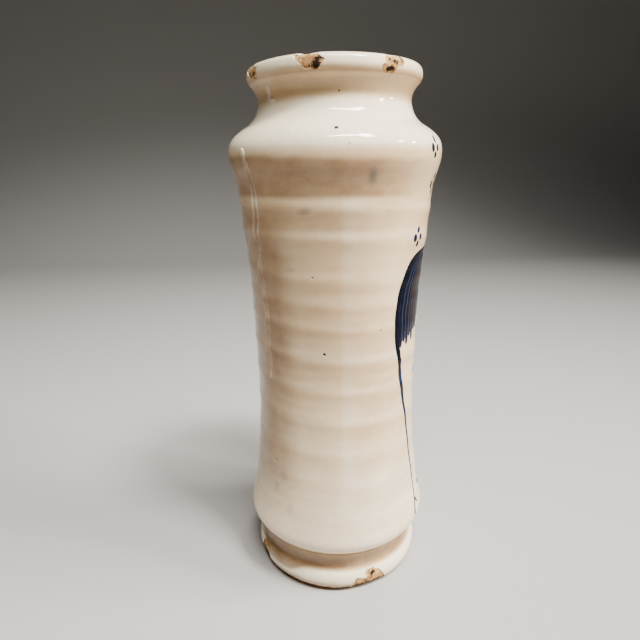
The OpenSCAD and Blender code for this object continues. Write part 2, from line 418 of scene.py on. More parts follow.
def turned(path: Path, steps: int, closed: bool) -> Mesh:
    """Spins a path of radius and height round the jar's axis.

    Args:
        path: The outline, in millimetres.
        steps: How many stretches the full turn has.
        closed: Whether the last point joins the first. If not, both ends lie on the axis.
            A stretch along the axis is left out.

    Returns:
        The bmesh of a closed shape, in metres, with its faces outwards.
    """
    bm = bmesh.new()
    verts = [bm.verts.new(on_circle(180.0, r, z) * MM) for r, z in path]
    pairs = list(zip(verts, verts[1:])) + ([(verts[-1], verts[0])] if closed else [])
    edges = [bm.edges.new((a, b)) for a, b in pairs if a.co.xy.length + b.co.xy.length > 0]
    bmesh.ops.spin(
        bm, geom=verts + edges, cent=(0, 0, 0), axis=(0, 0, 1), angle=math.tau,
        steps=steps, use_merge=True,
    )
    bmesh.ops.remove_doubles(bm, verts=bm.verts, dist=1e-7)
    bmesh.ops.recalc_face_normals(bm, faces=bm.faces)
    return bm


def carve(bm: Mesh, cutters: Sequence[Mesh]) -> Mesh:
    """Cuts the cutters out of a closed shape with a Boolean modifier.

    Args:
        bm: The shape, which is freed.
        cutters: Closed shapes to take away, which are freed.

    Returns:
        The shape that is left.
    """
    scene = bpy.context.scene
    made = []
    for mesh_source in (bm, *cutters):
        mesh = bpy.data.meshes.new("carving")
        mesh_source.to_mesh(mesh)
        mesh_source.free()
        made.append(bpy.data.objects.new("carving", mesh))
        scene.collection.objects.link(made[-1])
    block, tools = made[0], made[1:]
    for tool in tools:
        cut = block.modifiers.new("cut", "BOOLEAN")
        cut.operation = "DIFFERENCE"
        cut.object = tool
        cut.solver = "MANIFOLD"
    bpy.context.view_layer.update()
    result = bmesh.new()
    result.from_object(block, bpy.context.evaluated_depsgraph_get())
    for item in made:
        mesh = item.data
        bpy.data.objects.remove(item)
        bpy.data.meshes.remove(mesh)
    return result


def mark(bm: Mesh, name: str, value: Callable[[Vector], float]) -> None:
    """Stores a number on every vertex, for a material to read.

    Args:
        bm: The mesh.
        name: The attribute's name.
        value: Gives the number from a vertex's place in millimetres.
    """
    layer = bm.verts.layers.float.get(name) or bm.verts.layers.float.new(name)
    for vert in bm.verts:
        vert[layer] = value(vert.co / MM)


# ---------------------------------------------------------------- finishes


class Nodes:
    """A short way to write a node tree: each call adds a node and joins its inputs."""

    def __init__(self, tree: NodeTree) -> None:
        """Starts on an existing tree."""
        self.tree = tree

    def add(
        self, kind: str, inputs: dict[str | int, object] | None = None, **options: object
    ) -> Node:
        """Adds a node.

        Args:
            kind: The node's type, such as ShaderNodeMix.
            inputs: Input name or number to a value or to another node's output.
            options: Settings of the node itself.

        Returns:
            The new node.
        """
        node = self.tree.nodes.new(kind)
        for name, value in options.items():
            setattr(node, name, value)
        for name, value in (inputs or {}).items():
            if isinstance(value, Socket):
                self.tree.links.new(value, node.inputs[name])
            else:
                node.inputs[name].default_value = value
        return node

    def calc(self, operation: str, *values: object, clamp: bool = False) -> Socket:
        """Returns the output of a Math node, held from 0 to 1 if clamp is set."""
        inputs = dict(enumerate(values))
        return self.add("ShaderNodeMath", inputs, operation=operation, use_clamp=clamp).outputs[0]

    def plus(self, first: object, second: object, clamp: bool = False) -> Socket:
        """Returns the sum of two values."""
        return self.calc("ADD", first, second, clamp=clamp)

    def minus(self, first: object, second: object, clamp: bool = False) -> Socket:
        """Returns the first value less the second."""
        return self.calc("SUBTRACT", first, second, clamp=clamp)

    def times(self, first: object, second: object, clamp: bool = False) -> Socket:
        """Returns the product of two values."""
        return self.calc("MULTIPLY", first, second, clamp=clamp)

    def step(self, value: object, low: float, high: float) -> Socket:
        """Returns 0 below low and 1 above high, with a smooth step between."""
        inputs = {0: value, 1: low, 2: high}
        return self.add("ShaderNodeMapRange", inputs, interpolation_type="SMOOTHSTEP").outputs[0]

    def mix(self, share: object, low: object, high: object) -> Socket:
        """Returns a mix of two colours."""
        return self.add("ShaderNodeMix", {0: share, 6: low, 7: high}, data_type="RGBA").outputs[2]

    def noise(
        self, vector: object, scale: float, detail: float = 2.0, rough: float = 0.5
    ) -> Socket:
        """Returns smooth noise from about 0.3 to 0.7.

        Args:
            vector: The coordinates to read.
            scale: Blotches to a metre, roughly.
            detail: How many finer layers it has.
            rough: How strong those are.

        Returns:
            The noise's socket.
        """
        inputs = {"Vector": vector, "Scale": scale, "Detail": detail, "Roughness": rough}
        return self.add("ShaderNodeTexNoise", inputs).outputs[0]

    def place(
        self, stretch: tuple[float, float, float] = (1, 1, 1), shift: float = 0.0
    ) -> Socket:
        """Returns the object's own coordinates, stretched and shifted.

        Args:
            stretch: How many times finer the pattern is along each axis.
            shift: How far it is moved, which picks another part of it.

        Returns:
            The coordinates' socket.
        """
        where = self.add("ShaderNodeTexCoord").outputs["Object"]
        inputs = {"Vector": where, "Scale": stretch, "Location": (shift, shift, shift)}
        return self.add("ShaderNodeMapping", inputs).outputs[0]

    def value(self, name: str) -> Socket:
        """Returns a number that is stored on the mesh."""
        return self.add("ShaderNodeAttribute", attribute_name=name).outputs["Fac"]


def colour(red: float, green: float, blue: float) -> Colour:
    """Turns a screen colour into the linear colour that a shader needs.

    Args:
        red: Its red, from 0 to 255.
        green: Its green.
        blue: Its blue.

    Returns:
        The linear colour, with a full alpha.
    """

    def linear(level: float) -> float:
        """Returns one channel on the linear scale."""
        share = level / 255.0
        return share / 12.92 if share <= 0.04045 else ((share + 0.055) / 1.055) ** 2.4

    return (linear(red), linear(green), linear(blue), 1.0)


def new_group(name: str, inputs: dict[str, tuple[str, object]], outputs: dict[str, str]) -> Nodes:
    """Starts a shader node group.

    Args:
        name: The group's name.
        inputs: Input name to its socket type and default value.
        outputs: Output name to its socket type.

    Returns:
        The group's tree, with its input and output nodes under their own names.
    """
    tree = bpy.data.node_groups.new(name, "ShaderNodeTree")
    for label, (kind, default) in inputs.items():
        socket = tree.interface.new_socket(label, in_out="INPUT", socket_type=kind)
        socket.default_value = default
    for label, kind in outputs.items():
        tree.interface.new_socket(label, in_out="OUTPUT", socket_type=kind)
    nodes = Nodes(tree)
    nodes.add("NodeGroupInput", name="in")
    nodes.add("NodeGroupOutput", name="out")
    return nodes


def tin_glaze_group() -> NodeTree:
    """Builds the colour, gloss and surface of the white tin glaze.

    The glaze is white where it pooled above the finger ridges, and thin and warm below
    them, where the clay glows through; that banding is also painted light from above. The stored thin
    value also paints shade under the shoulder and the lip, in the foot's groove and down the jar's left
    side, and the stored value that whitens the glaze paints light on the shoulder, the lip's crown, the
    lower body and the foot's bead. It reads the mesh's own pool, whitening and thin values.

    Returns:
        The group's tree.
    """
    n = new_group(
        "TinGlaze",
        {
            "Milk": ("NodeSocketColor", colour(246, 231, 200)),
            "Cream": ("NodeSocketColor", colour(226, 197, 154)),
            "Blush": ("NodeSocketColor", colour(210, 170, 126)),
            "ClayAndShade": ("NodeSocketColor", colour(138, 102, 66)),
            "Smoke": ("NodeSocketColor", colour(68, 78, 76)),
        },
        {"Color": "NodeSocketColor", "Roughness": "NodeSocketFloat", "Height": "NodeSocketFloat"},
    )
    given = n.tree.nodes["in"].outputs
    # Painted light from above on the finger ridges: lean is 1 on downward flanks, painted darker and
    # warmer, and 0 on upward flanks, painted whiter. Partly glaze that ran thin below a ridge.
    lean = n.minus(1.0, n.value("pool"))
    broad = n.step(n.noise(n.place(), 26.0, 3.0, 0.55), 0.38, 0.66)
    banded = n.step(n.noise(n.place((1, 1, 4), 0.3), 20.0, 3.0, 0.6), 0.34, 0.68)
    cloud = n.step(n.noise(n.place((1, 1, 1.6), 1.7), 85.0, 4.0, 0.6), 0.36, 0.68)
    fine = n.step(n.noise(n.place((1, 1, 1), 4.1), 420.0, 3.0, 0.7), 0.35, 0.7)
    # Painted light: the stored whitening and the upward ridge flanks push the tone to Milk.
    milk_and_painted_light = n.plus(n.value("whiteness"), n.times(n.minus(0.62, lean), 0.55))
    milk_and_painted_light = n.plus(milk_and_painted_light, n.times(n.minus(banded, 0.5), 0.2), clamp=True)
    tone = n.mix(milk_and_painted_light, given["Cream"], given["Milk"])
    # Painted shade: downward flanks that are not whitened turn towards Blush in broad random patches.
    blush_and_painted_shade = n.times(n.times(broad, lean), n.minus(0.9, n.value("whiteness")), clamp=True)
    tone = n.mix(blush_and_painted_shade, tone, given["Blush"])
    veil = n.plus(n.times(lean, 0.2), n.plus(n.times(cloud, 0.14), 0.66))
    # Painted shade: the stored thin value pulls the tone to the clay's colour, both for thin glaze and
    # for shade.
    tone = n.mix(n.times(n.value("thin"), veil, clamp=True), tone, given["ClayAndShade"])
    tone = n.mix(n.times(n.minus(1.0, fine), 0.07), tone, given["ClayAndShade"])
    drift = n.step(n.noise(n.place((1, 1, 0.7), 5.3), 58.0, 4.0, 0.62), 0.46, 0.7)
    bare = n.minus(1.0, n.value("whiteness"), clamp=True)
    tone = n.mix(n.times(n.times(drift, bare), 0.3), tone, given["Blush"])
    tone = n.mix(n.times(n.value("smudge"), 0.8), tone, given["Smoke"])
    gloss = n.plus(0.09, n.times(cloud, 0.07))
    peel = n.noise(n.place((1, 1, 1), 2.2), 260.0, 2.0, 0.45)
    pits = n.step(n.noise(n.place((1, 1, 1), 6.6), 520.0, 0.0), 0.76, 0.82)
    height = n.minus(peel, n.times(pits, 0.6))
    out = n.tree.nodes["out"]
    n.tree.links.new(tone, out.inputs["Color"])
    n.tree.links.new(gloss, out.inputs["Roughness"])
    n.tree.links.new(height, out.inputs["Height"])
    return n.tree


def clay_group() -> NodeTree:
    """Builds the sandy surface of broken or bare earthenware, with dirt and painted shade that darken
    it deeper in breaks and pits.

    Returns:
        The group's tree.
    """
    n = new_group(
        "FiredClay",
        {
            "Fresh": ("NodeSocketColor", colour(206, 166, 108)),
            "Worn": ("NodeSocketColor", colour(150, 104, 60)),
            "DirtAndShade": ("NodeSocketColor", colour(26, 15, 8)),
        },
        {"Color": "NodeSocketColor", "Height": "NodeSocketFloat"},
    )
    given = n.tree.nodes["in"].outputs
    # Dirt and painted shade: the stored depth darkens the clay deeper inside breaks and pinholes.
    deep = n.value("deep")
    grain = n.noise(n.place(), 1500.0, 4.0, 0.7)
    patch = n.noise(n.place((1, 1, 1), 3.3), 330.0, 4.0, 0.65)
    tone = n.mix(n.step(patch, 0.36, 0.66), given["Fresh"], given["Worn"])
    dirt_and_shade = n.plus(n.times(deep, 0.95), n.times(n.minus(patch, 0.5), 1.8))
    dirt_and_shade = n.plus(dirt_and_shade, n.times(n.minus(grain, 0.5), 1.4))
    tone = n.mix(n.step(dirt_and_shade, 0.42, 0.86), tone, given["DirtAndShade"])
    tone = n.mix(n.times(n.step(grain, 0.56, 0.7), 0.5), tone, given["DirtAndShade"])
    out = n.tree.nodes["out"]
    n.tree.links.new(tone, out.inputs["Color"])
    n.tree.links.new(n.plus(grain, patch), out.inputs["Height"])
    return n.tree


def brush_group() -> NodeTree:
    """Builds the streaks of a loaded brush, from the across, along and ink values of a stroke.

    Streak is 0 where the pigment is thin and 1 where it pools. Cover is 0 where the glaze
    shows past the stroke's edge and 1 under the pigment.

    Returns:
        The group's tree.
    """
    n = new_group(
        "BrushMark",
        {
            "Hairs": ("NodeSocketFloat", 1.0),
            "Load": ("NodeSocketFloat", 0.5),
            "Bleed": ("NodeSocketFloat", 0.5),
        },
        {"Streak": "NodeSocketFloat", "Cover": "NodeSocketFloat"},
    )
    given = n.tree.nodes["in"].outputs
    across = n.times(n.value("across"), given["Hairs"])
    along = n.times(n.value("along"), 0.09)
    lines = n.add("ShaderNodeCombineXYZ", {0: across, 1: along, 2: n.value("dip")}).outputs[0]
    hair = n.noise(lines, 1.6, 4.0, 0.65)
    pool = n.noise(n.place(), 160.0, 3.0, 0.6)
    body = n.plus(n.times(hair, 0.8), n.times(pool, 0.35))
    streak = n.step(n.plus(body, n.minus(given["Load"], 0.5)), 0.42, 0.72)
    ragged = n.times(n.minus(n.noise(n.place(), 700.0, 3.0, 0.6), 0.5), 0.5)
    edge = n.plus(n.value("ink"), ragged)
    cover = n.step(n.calc("DIVIDE", edge, given["Bleed"]), 0.25, 1.0)
    out = n.tree.nodes["out"]
    n.tree.links.new(streak, out.inputs["Streak"])
    n.tree.links.new(cover, out.inputs["Cover"])
    return n.tree


def blank_material(name: str) -> tuple[Material, Nodes, Node]:
    """Starts a material with a Principled shader.

    Args:
        name: The material's name.

    Returns:
        The material, its nodes and its shader.
    """
    made = bpy.data.materials.new(name)
    made.use_nodes = True
    made.node_tree.nodes.clear()
    n = Nodes(made.node_tree)
    shader = n.add("ShaderNodeBsdfPrincipled")
    n.add("ShaderNodeOutputMaterial", {"Surface": shader.outputs[0]})
    return made, n, shader


@dataclass(frozen=True)
class Gloss:
    """How a fired surface shines. The depth of its orange peel is in metres."""

    index: float = 1.52
    specular: float = 0.4
    coat: float = 0.15
    coat_roughness: float = 0.03
    peel: float = 0.00005

    def dress(self, n: Nodes, shader: Node, glaze: Node, tone: object) -> None:
        """Joins the glaze group to a glossy shader.

        Args:
            n: The material's nodes.
            shader: Its Principled shader.
            glaze: Its tin glaze group.
            tone: The colour to show.
        """
        n.tree.links.new(tone, shader.inputs["Base Color"])
        n.tree.links.new(glaze.outputs["Roughness"], shader.inputs["Roughness"])
        shader.inputs["IOR"].default_value = self.index
        shader.inputs["Specular IOR Level"].default_value = self.specular
        shader.inputs["Coat Weight"].default_value = self.coat
        shader.inputs["Coat Roughness"].default_value = self.coat_roughness
        rise = {"Height": glaze.outputs["Height"], "Distance": self.peel, "Strength": 1.0}
        n.tree.links.new(n.add("ShaderNodeBump", rise).outputs[0], shader.inputs["Normal"])


@dataclass(frozen=True)
class GlazeFinish:
    """Glossy white tin glaze. The tones can be shifted for the inside and for the runs."""

    look: Look
    groups: dict[str, NodeTree]
    tones: dict[str, Colour] = field(default_factory=dict)
    gloss: Gloss = Gloss()

    def material(self) -> Material:
        """Builds the material.

        Returns:
            The material, named after its look.
        """
        made, n, shader = blank_material(self.look.value)
        glaze = n.add("ShaderNodeGroup", node_tree=self.groups["glaze"])
        for name, tone in self.tones.items():
            glaze.inputs[name].default_value = tone
        self.gloss.dress(n, shader, glaze, glaze.outputs["Color"])
        return made


@dataclass(frozen=True)
class ClayFinish:
    """Matt buff earthenware, where it is bare or broken. Its grain's depth is in metres."""

    look: Look
    groups: dict[str, NodeTree]
    roughness: float = 0.92
    specular: float = 0.25
    grain: float = 0.0005

    def material(self) -> Material:
        """Builds the material.

        Returns:
            The material, named after its look.
        """
        made, n, shader = blank_material(self.look.value)
        clay = n.add("ShaderNodeGroup", node_tree=self.groups["clay"])
        n.tree.links.new(clay.outputs["Color"], shader.inputs["Base Color"])
        shader.inputs["Roughness"].default_value = self.roughness
        shader.inputs["Specular IOR Level"].default_value = self.specular
        rise = {"Height": clay.outputs["Height"], "Distance": self.grain, "Strength": 1.0}
        n.tree.links.new(n.add("ShaderNodeBump", rise).outputs[0], shader.inputs["Normal"])
        return made


@dataclass(frozen=True)
class PigmentFinish:
    """Pigment painted into the glaze and fired with it, streaked by the brush.

    Where the stroke's cover ends, the glaze shows, or the colour that over gives.
    """

    look: Look
    groups: dict[str, NodeTree]
    thin: Colour
    dense: Colour
    hairs: float = 1.0
    load: float = 0.5
    bleed: float = 0.5
    over: Colour | None = None
    gloss: Gloss = Gloss(specular=0.04, coat=0.0, peel=0.00003)

    def material(self) -> Material:
        """Builds the material.

        Returns:
            The material, named after its look.
        """
        made, n, shader = blank_material(self.look.value)
        glaze = n.add("ShaderNodeGroup", node_tree=self.groups["glaze"])
        brush = n.add("ShaderNodeGroup", node_tree=self.groups["brush"])
        for name, number in (("Hairs", self.hairs), ("Load", self.load), ("Bleed", self.bleed)):
            brush.inputs[name].default_value = number
        pigment = n.mix(brush.outputs["Streak"], self.thin, self.dense)
        under = glaze.outputs["Color"] if self.over is None else self.over
        self.gloss.dress(n, shader, glaze, n.mix(brush.outputs["Cover"], under, pigment))
        return made


# ---------------------------------------------------------------- the pot


@dataclass(frozen=True)
class Bite:
    """One blow that broke a flake out of the lip or the foot."""

    angle: float
    radius: float
    height: float
    wide: float
    tall: float
    deep: float
    seed: int
    lean: float = 0.0

    def cutter(self, grow: float) -> Mesh:
        """Returns a rough faceted lump that cuts the break.

        Args:
            grow: How much larger than the break in the clay, in millimetres.

        Returns:
            The closed lump, in metres.
        """
        bm = bmesh.new()
        bmesh.ops.create_icosphere(bm, subdivisions=5, radius=1.0)
        facets = []
        for i in range(26):
            offset = Vector((self.seed * 3.1 + i * 1.37, i * 0.71, self.seed * 0.37))
            facet = noise.noise_vector(offset * 5.0)
            facets.append((facet.normalized(), 0.72 + 0.26 * abs(noise.noise(offset * 3.3))))
        for vert in bm.verts:
            way = vert.co.normalized()
            reach = min([far / max(way.dot(face), 0.05) for face, far in facets] + [1.05])
            rough = 0.05 * noise.noise(way * 4.0 + Vector((self.seed, 0, 0)))
            rough += 0.025 * noise.noise(way * 11.0 + Vector((0, self.seed, 0)))
            vert.co = way * (reach + rough)
        size = Matrix.Diagonal((self.wide + grow, self.deep + grow * 0.4, self.tall + grow, 1.0))
        tip = Matrix.Rotation(math.radians(self.lean), 4, "Y")
        turn = Matrix.Rotation(math.radians(self.angle), 4, "Z")
        place = Matrix.Translation(on_circle(self.angle, self.radius, self.height))
        bmesh.ops.transform(bm, matrix=Matrix.Scale(MM, 4) @ place @ turn @ tip @ size, verts=bm.verts)
        return bm


@dataclass(frozen=True)
class Pit:
    """A pinhole where a bubble burst in the glaze, open down to the clay."""

    angle: float
    height: float
    size: float

    def middle(self, wall: Wall) -> Vector:
        """Returns the pit's middle, on the glaze, in millimetres."""
        return on_circle(self.angle, wall.radius(self.angle, self.height), self.height)

    def cutter(self, wall: Wall) -> Mesh:
        """Returns the uneven round lump that opens the pit.

        Args:
            wall: The glaze that the pit is in.

        Returns:
            The closed lump, in metres.
        """
        bm = bmesh.new()
        bmesh.ops.create_icosphere(bm, subdivisions=3, radius=self.size)
        middle = self.middle(wall)
        for vert in bm.verts:
            swell = 1.0 + 0.28 * noise.noise(vert.co * (1.3 / self.size) + middle)
            vert.co = (middle + vert.co * swell) * MM
        return bm


@dataclass
class Pot:
    """The thrown jar: clay, outside glaze and inside glaze, with the chips cut out."""

    wall: Wall
    turns: int = 200
    inside_turns: int = 160
    row: float = 0.9
    inside_row: float = 1.6
    split: float = 268.0
    crown: float = 279.6
    clay_shows: float = 0.9
    # Darkening of the foot's resting face: dirt, and painted shade on its downward face.
    foot_dirt_and_shade: float = 0.3
    bites: tuple[Bite, ...] = (
        Bite(-111.0, 42.4, 284.4, 8.4, 7.4, 7.6, 3, -3),
        Bite(-109.6, 45.2, 277.8, 6.2, 5.6, 5.0, 5, 14),
        Bite(-106.0, 43.6, 275.8, 3.8, 2.2, 5.4, 9), Bite(-115.4, 45.0, 278.8, 3.4, 3.0, 3.6, 12),
        Bite(-57.4, 43.0, 284.4, 8.0, 7.0, 7.0, 15, 4), Bite(-58.0, 45.2, 277.6, 6.2, 4.6, 4.6, 21, -8),
        Bite(-60.6, 43.6, 273.8, 3.8, 2.2, 4.2, 24), Bite(-56.2, 42.8, 276.6, 3.2, 2.2, 5.0, 27),
        Bite(-160.0, 45.4, 278.4, 6.6, 4.4, 4.4, 33, 10), Bite(-153.6, 45.0, 275.4, 3.8, 2.8, 3.2, 36),
        Bite(-78.0, 51.4, 0.4, 8.8, 9.8, 13.4, 41, 8), Bite(-67.6, 51.6, 0.6, 9.4, 10.4, 13.4, 52, -10),
        Bite(-88.0, 50.8, -1.4, 8.4, 7.4, 7.4, 47), Bite(-70.8, 49.4, 10.6, 3.8, 2.4, 4.4, 55, 20),
        Bite(-157.0, 51.2, 6.4, 8.2, 9.6, 7.4, 58, -6), Bite(-163.0, 50.4, 1.0, 7.4, 6.8, 6.4, 60),
        Bite(-101.0, 48.6, -0.6, 5.4, 4.2, 4.4, 63), Bite(128.0, 45.4, 277.0, 4.6, 4.0, 4.0, 71),
        Bite(-12.0, 50.4, 2.6, 5.4, 5.0, 4.4, 77),
    )
    pits: tuple[Pit, ...] = (
        Pit(-94.2, 248.8, 1.1), Pit(-92.0, 264.6, 0.45), Pit(-102.0, 144.0, 0.8),
        Pit(-108.0, 183.0, 0.6), Pit(-154.5, 217.0, 0.8), Pit(-140.0, 77.0, 0.7),
        Pit(-65.6, 155.0, 0.6), Pit(-96.2, 72.0, 0.5), Pit(-114.0, 248.0, 0.4),
        Pit(-38.0, 101.0, 0.6), Pit(64.0, 170.0, 0.7), Pit(118.0, 92.0, 0.8),
        Pit(150.0, 222.0, 0.6), Pit(22.0, 246.0, 0.6), Pit(96.0, 244.0, 0.5), Pit(-12.0, 31.0, 0.5),
    )
    # Dark spots on the broken clay, as angle, height, half width, half height and sometimes strength:
    # dirt, and painted shade in the hollows of chips and under the foot's broken edge.
    dirt_and_shade_spots: tuple[tuple[float, ...], ...] = (
        (-106.0, 274.3, 3.4, 1.7), (-103.6, 277.0, 1.8, 0.9), (-114.4, 277.4, 1.2, 0.8),
        (-56.6, 276.4, 2.4, 1.3), (-60.4, 273.3, 2.8, 1.3), (-61.4, 277.3, 0.8, 0.8),
        (-153.6, 274.8, 1.8, 0.9), (-157.6, 275.4, 0.7, 1.8), (-70.6, 10.6, 3.0, 1.4),
        (-75.0, 2.4, 16.0, 4.4, 0.8), (-158.0, 6.0, 7.0, 6.0, 0.75), (-95.6, 5.4, 2.2, 1.2),
    )

    def __post_init__(self) -> None:
        """Takes the outline from the wall, and makes a tree that finds the nearest surface."""
        self.outline = self.wall.outline
        self.open_pits = [(pit.middle(self.wall), pit.size) for pit in self.pits]
        points = self.outer_path()
        self.surface = kdtree.KDTree(len(points))
        for i, (radius, height) in enumerate(points):
            self.surface.insert((radius, height, 0.0), i)
        self.surface.balance()

    def even(self, path: Path, row: float) -> list[Point]:
        """Returns a path with its points about a row apart.

        Args:
            path: The points of the path.
            row: The least distance between two.

        Returns:
            The path with the points that are kept, its two ends among them.
        """
        kept = [path[0]]
        for point in path[1:-1]:
            if math.dist(point, kept[-1]) >= row:
                kept.append(point)
        if math.dist(path[-1], kept[-1]) < row * 0.5:
            kept.pop()
        return kept + [path[-1]]

    def outer_path(self) -> list[Point]:
        """Returns the finely sampled outside, over the lip and into the mouth."""
        outside = smooth_path(self.outline.outside, 40)
        lip = smooth_path(self.outline.lip, 20)
        return self.even(outside + lip[1:], self.row)

    def inner_path(self) -> list[Point]:
        """Returns the inside, from the split in the mouth to the middle of the floor."""
        below = [(33.0, self.split)] + smooth_path(self.outline.cavity[1:], 30)
        return self.even(below, self.inside_row)

    def skirt(self, angle: float) -> float:
        """Returns how far the glaze's lower edge has worn up the foot at an angle.

        Args:
            angle: Angle from the front, in degrees.

        Returns:
            The height in millimetres.
        """
        place = on_circle(angle, MEAN_RADIUS, 0.0)
        worn = max(0.0, 2.1 + 1.9 * mottle(place, 17.0, 2.4) + 0.9 * mottle(place, 5.0, 6.1))
        return worn + 1.2 * ease(-abs(angle + 140.0), -40.0, -10.0)

    def settle(self, point: Vector) -> Vector:
        """Moves a point of the turned outside to where the potter's hands left it.

        Args:
            point: Where, in millimetres.

        Returns:
            The moved point.
        """
        angle, radius, height = angle_of(point), math.hypot(point.x, point.y), point.z
        off = radius - self.outline.radius(height)
        if height > self.crown or off < -3.0:
            return point
        lifted = height + self.skirt(angle) * (1.0 - ease(height, 1.5, 9.0))
        here = self.wall.radius(angle, lifted) + off
        fade = 1.0 - ease(height, 276.5, self.crown)
        plain = self.outline.radius(lifted) + off
        return on_circle(angle, blend(plain, here, fade), lifted)

    def sag(self, point: Vector) -> Vector:
        """Lowers the lip a little unevenly, as a hand-thrown one is."""
        low = 0.28 + 0.26 * mottle(on_circle(angle_of(point), 40.0, 0.0), 42.0, 8.8)
        return Vector((point.x, point.y, point.z - low * ease(point.z, 268.0, 279.0)))

    def glaze_coat(self) -> Mesh:
        """Returns the closed coat of glaze over the outside and the lip.

        Returns:
            The coat, in metres.
        """
        fine = self.outer_path()
        back = self.even(beside(fine, self.outline.glaze), 5.0)
        bm = turned(fine + back[::-1], self.turns, closed=True)
        for vert in bm.verts:
            vert.co = self.sag(self.settle(vert.co / MM)) * MM
        return bm

    def clay(self) -> Mesh:
        """Returns the clay under both coats, with its turned foot.

        Returns:
            The clay, in metres, before it is chipped.
        """
        whole = self.outer_path()[:-3] + self.inner_path()[3:]
        under = self.even(smooth_path(self.outline.underside, 24), 0.8)
        bm = turned(under + beside(whole, self.outline.glaze), self.turns, closed=False)
        for vert in bm.verts:
            spot = vert.co / MM
            if spot.z < 2.6 and math.hypot(spot.x, spot.y) < 44.0:
                radius = math.hypot(spot.x, spot.y)
                tool = 0.09 * math.sin(radius * 2.3) + 0.1 * mottle(spot, 6.0, 4.4)
                resting = ease(-abs(radius - 40.4), -4.0, -3.0)
                spot.z = max(0.0, spot.z + tool * (1.0 - resting))
            vert.co = self.sag(spot) * MM
        return bm

    def inside(self) -> Mesh:
        """Returns the closed coat of glaze on the inside.

        Returns:
            The coat, in metres.
        """
        fine = self.inner_path()
        back = self.even(beside(fine, self.outline.glaze), 6.0)
        bm = turned(fine + back[::-1], self.inside_turns, closed=True)
        for vert in bm.verts:
            spot = vert.co / MM
            angle, radius = angle_of(spot), math.hypot(spot.x, spot.y)
            if 24.0 < spot.z < 235.0 and radius > 20.0:
                grow = -1.2 * self.wall.throwing.ridge(angle, spot.z)
                spot = on_circle(angle, radius + grow * ease(spot.z, 24, 40), spot.z)
            vert.co = self.sag(spot) * MM
        return bm

    def build(self, finishes: Finishes) -> None:
        """Builds, chips, marks and dresses the three layers.

        Args:
            finishes: The jar's materials.
        """
        clay = carve(self.clay(), [bite.cutter(0.0) for bite in self.bites])
        mark(clay, "deep", self.depth_of_break)
        finish_piece(
            "fired_clay_body", clay, finishes[Look.CLAY], Slot.CLAY, ["clay_body"], BREAK_EDGE
        )
        pinholes = joined(pit.cutter(self.wall) for pit in self.pits)
        flakes = [bite.cutter(self.clay_shows) for bite in self.bites]
        coat = carve(self.glaze_coat(), flakes + [pinholes])
        self.mark_glaze(coat)
        finish_piece(
            "white_glaze_outside", coat, finishes[Look.GLAZE], Slot.GLAZE, ["outer_glaze"]
        )
        lining = self.inside()
        self.mark_glaze(lining)
        finish_piece(
            "white_glaze_inside", lining, finishes[Look.LINING], Slot.INSIDE, ["inner_glaze"]
        )

    def depth_of_break(self, point: Vector) -> float:
        """Returns 0 on the clay's turned surface and up to 1 deep inside a break, as dirt and painted
        shade.

        Args:
            point: Where, in millimetres.

        Returns:
            The depth, as a share of the deepest.
        """
        flat = Vector((math.hypot(point.x, point.y), point.z, 0.0))
        depth = self.surface.find(flat)[2] - self.outline.glaze
        if point.z < 3.0 and flat.x < 46.0:
            return self.foot_dirt_and_shade
        if any((point - middle).length < size * 1.6 for middle, size in self.open_pits):
            return 1.0
        broken = max(0.0, depth / 5.0) if depth < 5.5 else 0.0
        return min(1.0, max(broken, 1.15 * spots(point, self.dirt_and_shade_spots) if depth < 12.0 else 0.0))

    def mark_glaze(self, bm: Mesh) -> None:
        """Stores where the glaze pooled and where it is thin or thick, values that also carry painted
        light and painted shade.

        Args:
            bm: The coat to mark.
        """
        mark(bm, "pool", lambda p: self.wall.throwing.pool_and_painted_light(angle_of(p), p.z))
        mark(bm, "thin", thin_glaze_and_painted_shade)
        mark(bm, "whiteness", thick_glaze_and_painted_light)
        mark(bm, "smudge", lambda p: spots(p, SMUDGES))


# Soft grey smudges on the glaze: angle, height, half width, half height and strength.
SMUDGES = (
    (-76.4, 228.8, 2.0, 3.6, 0.9), (-75.4, 227.0, 1.0, 1.6, 0.7), (-110.8, 213.7, 2.8, 1.6, 0.5),
    (-121.0, 186.0, 2.4, 1.2, 0.35), (-88.6, 197.0, 2.6, 1.6, 0.2), (-132.0, 70.0, 2.4, 3.0, 0.3),
    (-126.0, 52.0, 2.0, 2.6, 0.3), (-138.6, 61.0, 1.6, 3.2, 0.35), (58.0, 118.0, 2.4, 2.0, 0.6),
    (140.0, 146.0, 3.0, 2.4, 0.4), (-14.0, 84.0, 2.0, 1.8, 0.3), (176.0, 206.0, 3.4, 2.4, 0.4),
)


def spots(point: Vector, places: Iterable[Sequence[float]]) -> float:
    """Returns how strongly soft uneven spots cover a place, from 0 to 1.

    Args:
        point: Where, in millimetres.
        places: Angle, height, half width and half height of each spot, and its strength.

    Returns:
        The strongest cover of any spot there.
    """
    angle, radius = angle_of(point), math.hypot(point.x, point.y)
    most = 0.0
    for turn, height, wide, tall, *strength in places:
        along = math.radians((angle - turn + 180.0) % 360.0 - 180.0) * radius / wide
        up = (point.z - height) / tall
        if abs(along) < 2.5 and abs(up) < 2.5:
            uneven = 1.0 + 0.5 * mottle(point, 1.1 * min(wide, tall), turn)
            cover = math.exp(-((along * along + up * up) * uneven) ** 1.5)
            most = max(most, cover * (strength[0] if strength else 1.0))
    return most


def band(value: float, low: float, high: float, soft: float) -> float:
    """Returns 1 between low and high and 0 outside, with a soft step at each end."""
    return ease(value, low - soft, low + soft) * (1.0 - ease(value, high - soft, high + soft))


